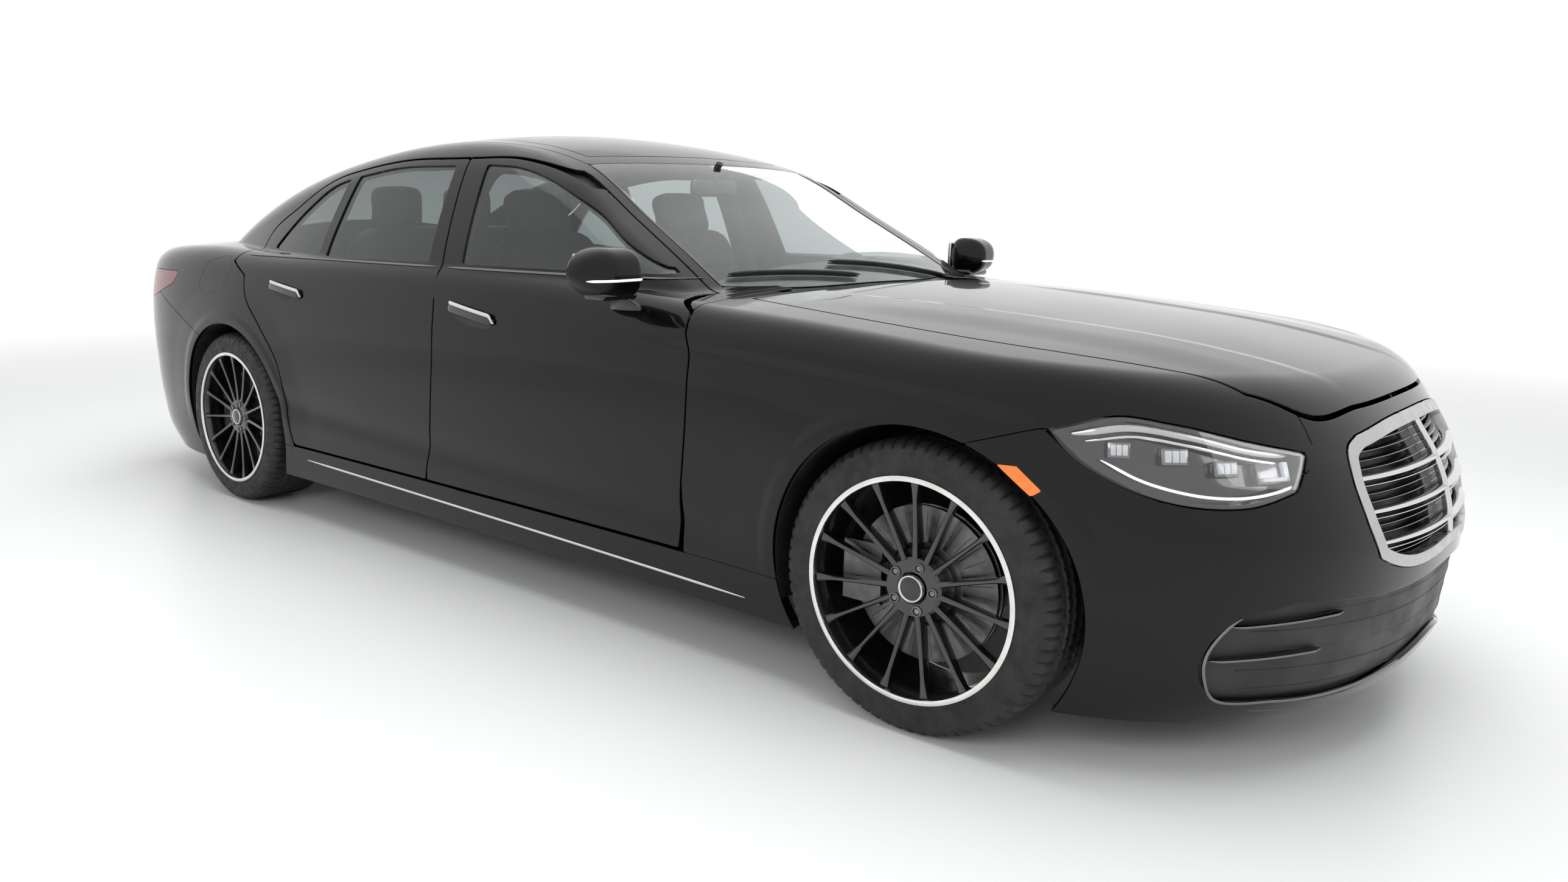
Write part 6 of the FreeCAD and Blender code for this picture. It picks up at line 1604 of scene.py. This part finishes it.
def seat_pad(name, low, high, axis, seams, lean=None, shape=None, stands_for=(), voxel=0.011, fine=True):
    """A leather pad. Seams is a list of tests that give the distance from a sewn line."""
    v, f = loft_pad(low, high, axis, shape=shape)
    obj = add(name, v, f, grey_leather, CAR, "seat", smooth=None, stands_for=stands_for)
    swell(obj, voxel)
    if fine:
        finer = obj.modifiers.new("finer", "SUBSURF")
        finer.levels = finer.render_levels = 1
        applied(obj)
    p = places_of(obj.data)
    n = np.array([q.normal for q in obj.data.vertices])
    depth = np.zeros(len(p))
    for seam in seams:
        depth = np.maximum(depth, SEAM_DEPTH * np.exp(-(seam(p, n) / SEAM_WIDTH) ** 2))
    p -= n * depth[:, None]
    if lean:
        angle, y, z = lean
        c, s = math.cos(angle), math.sin(angle)
        dy, dz = p[:, 1] - y, p[:, 2] - z
        p[:, 1], p[:, 2] = y + c * dy + s * dz, z - s * dy + c * dz
    obj.data.vertices.foreach_set("co", p.ravel())
    obj.data.polygons.foreach_set("use_smooth", [True] * len(obj.data.polygons))
    obj.data.materials.clear()
    obj.data.materials.append(grey_leather)
    obj.data.update()


def lines_at(axis, places, face, sign, centre=0.0, within=9.0):
    """Distances from straight sewn lines on the side of a pad that faces one way."""
    def test(p, n):
        d = np.min([np.abs(np.abs(p[:, axis] - centre) - q if axis == 0 else p[:, axis] - q) for q in places], 0)
        far = (n[:, face] * sign < 0.35) | (np.abs(p[:, 0] - centre) > within)
        return np.where(far, 1.0, d)
    return test


# Where the seats stand: heights above the road, places across and the lean of the front backrests.
FLOOR, CUSHION_TOP, BACK_TOP = 0.1965, 0.5253, 1.1653
HEAD_LOW, HEAD_HIGH = 1.128, 1.315
LEAN = (math.radians(18), -0.0356, 0.3753)
SEAT_X, SEAT_HALF, BENCH_HALF = 0.3908, 0.27, 0.6155
PIPING = SEAT_HALF * 0.62
BENCH_SEAMS = [0.14, 0.50]


def back_shape(v, unit):
    """A waist, bolsters at the sides and narrower shoulders."""
    front = np.clip(-unit[:, 1], 0, 1)
    v[:, 1] += front * 0.022 * (1 - np.abs(unit[:, 0]) ** 2) * (1 - 0.5 * unit[:, 2])
    middle = v[:, 0].mean()
    v[:, 0] = middle + (v[:, 0] - middle) * (1 - 0.14 * np.clip(unit[:, 2], 0, 1) ** 2)
    return v


def cushion_shape(v, unit):
    """A hollow between the bolsters and a rounded front edge."""
    top = np.clip(unit[:, 2], 0, 1)
    v[:, 2] -= top * 0.024 * (1 - np.abs(unit[:, 0]) ** 2.5)
    v[:, 2] -= np.clip(-unit[:, 1], 0, 1) ** 4 * top * 0.02
    return v


def make_front_seat(x, hand):
    low, high = x - SEAT_HALF, x + SEAT_HALF
    seat_pad(f"front_cushion_{hand}", (low, -0.5756, 0.3253), (high, -0.1000, CUSHION_TOP), 1,
             [lines_at(0, [PIPING], 2, 1, x), lines_at(1, [-0.50, -0.41, -0.32, -0.23], 2, 1, x, PIPING)],
             shape=cushion_shape, stands_for=("front_seats",))
    seat_pad(f"front_backrest_{hand}", (low, -0.1856, 0.3753), (high, -0.0356, BACK_TOP), 2,
             [lines_at(0, [PIPING], 1, -1, x), lines_at(2, [0.62, 0.71, 0.80, 0.89, 0.98], 1, -1, x, PIPING)],
             lean=LEAN, shape=back_shape)
    seat_pad(f"front_headrest_{hand}", (x - 0.135, -0.156, HEAD_LOW), (x + 0.135, -0.051, HEAD_HIGH), 0,
             [lines_at(0, [0.085], 1, -1, x)], lean=LEAN)
    add(f"seat_base_{hand}", *block((x - 0.23, -0.54, FLOOR), (x + 0.23, -0.07, 0.34), 0.02), satin, CAR, "plastic")
    posts = [strip([(x + dx, 0.169, 1.10), (x + dx, 0.190, 1.20)], oval(0.014, 0.014, 12, 2), (0, 1, 0))
             for dx in (-0.06, 0.06)]
    add(f"headrest_posts_{hand}", *join(*posts), chrome, CAR, "chrome")


def make_bench():
    seat_pad("rear_cushion", (-BENCH_HALF, 0.304, 0.300), (BENCH_HALF, 1.000, CUSHION_TOP), 0,
             [lines_at(0, BENCH_SEAMS, 2, 1), lines_at(1, [0.42, 0.52, 0.62, 0.72, 0.82], 2, 1, 0, 0.50)],
             stands_for=("rear_seat",), fine=False, voxel=0.012)
    seat_pad("rear_backrest", (-BENCH_HALF, 0.952, 0.500), (BENCH_HALF, 1.168, BACK_TOP), 0,
             [lines_at(0, BENCH_SEAMS, 1, -1), lines_at(2, [0.68, 0.78, 0.88, 0.98], 1, -1, 0, 0.50)], fine=False,
             voxel=0.012)
    for name, x in (("left", 0.371), ("middle", 0.0), ("right", -0.371)):
        seat_pad(f"rear_headrest_{name}", (x - 0.1125, 1.018, HEAD_LOW), (x + 0.1125, 1.130, HEAD_HIGH), 0,
                 [lines_at(0, [0.07], 1, -1, x)])
    plinth = [block((x0, 0.33, FLOOR), (x1, 0.99, 0.31), 0.01, 2) for x0, x1 in ((0.16, 0.60), (-0.60, -0.16))]
    add("rear_seat_base", *join(*plinth), satin, CAR, "plastic")


def make_fittings():
    """Screens, vents, the mirror and the roof's lining."""
    for name, low, high, lean, about in (
            ("centre_screen", (-0.155, -0.700, 0.700), (0.155, -0.690, 0.930), -22, (0, -0.69, 0.80)),
            ("driver_display", (0.26, -0.710, 0.955), (0.53, -0.700, 1.060), -14, (0.39, -0.70, 0.99))):
        turn = Matrix.Rotation(math.radians(lean), 3, "X")
        add(name, *block(low, high, 0.006, 3, turn, about), gloss_black, CAR, "trim")
    vents = [block((x - 0.045, -0.700, 0.915), (x + 0.045, -0.684, 0.935), 0.004, 2)
             for x in (-0.54, -0.10, 0.10, 0.56)]
    add("dash_vents", *join(*vents), chrome, CAR, "chrome")
    glass = loft_pad((-0.125, -0.36, 1.262), (0.125, -0.325, 1.336), 0, 3.2, 28, 20)
    add("inner_mirror", *glass, gloss_black, CAR, "trim")
    stem = strip([(0, -0.345, 1.32), (0, -0.352, 1.365), (0, -0.372, 1.388)], oval(0.02, 0.03, 12, 2.4), (1, 0, 0))
    add("inner_mirror_stem", *stem, satin, CAR, "plastic")
    panel("headliner", cabin_field, plan(-60, 60, 47, 89, 62, 0.03), [within_x(0.56), less(
        plan_in(roof_glass_plan), 0.02)], material=headliner, slot="seat", depth=0.008, top=0.028, roll=0.002)


make_front_seat(SEAT_X, "left")
make_front_seat(-SEAT_X, "right")
make_bench()
make_fittings()

# ---------------------------------------------------------------- end
low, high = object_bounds()
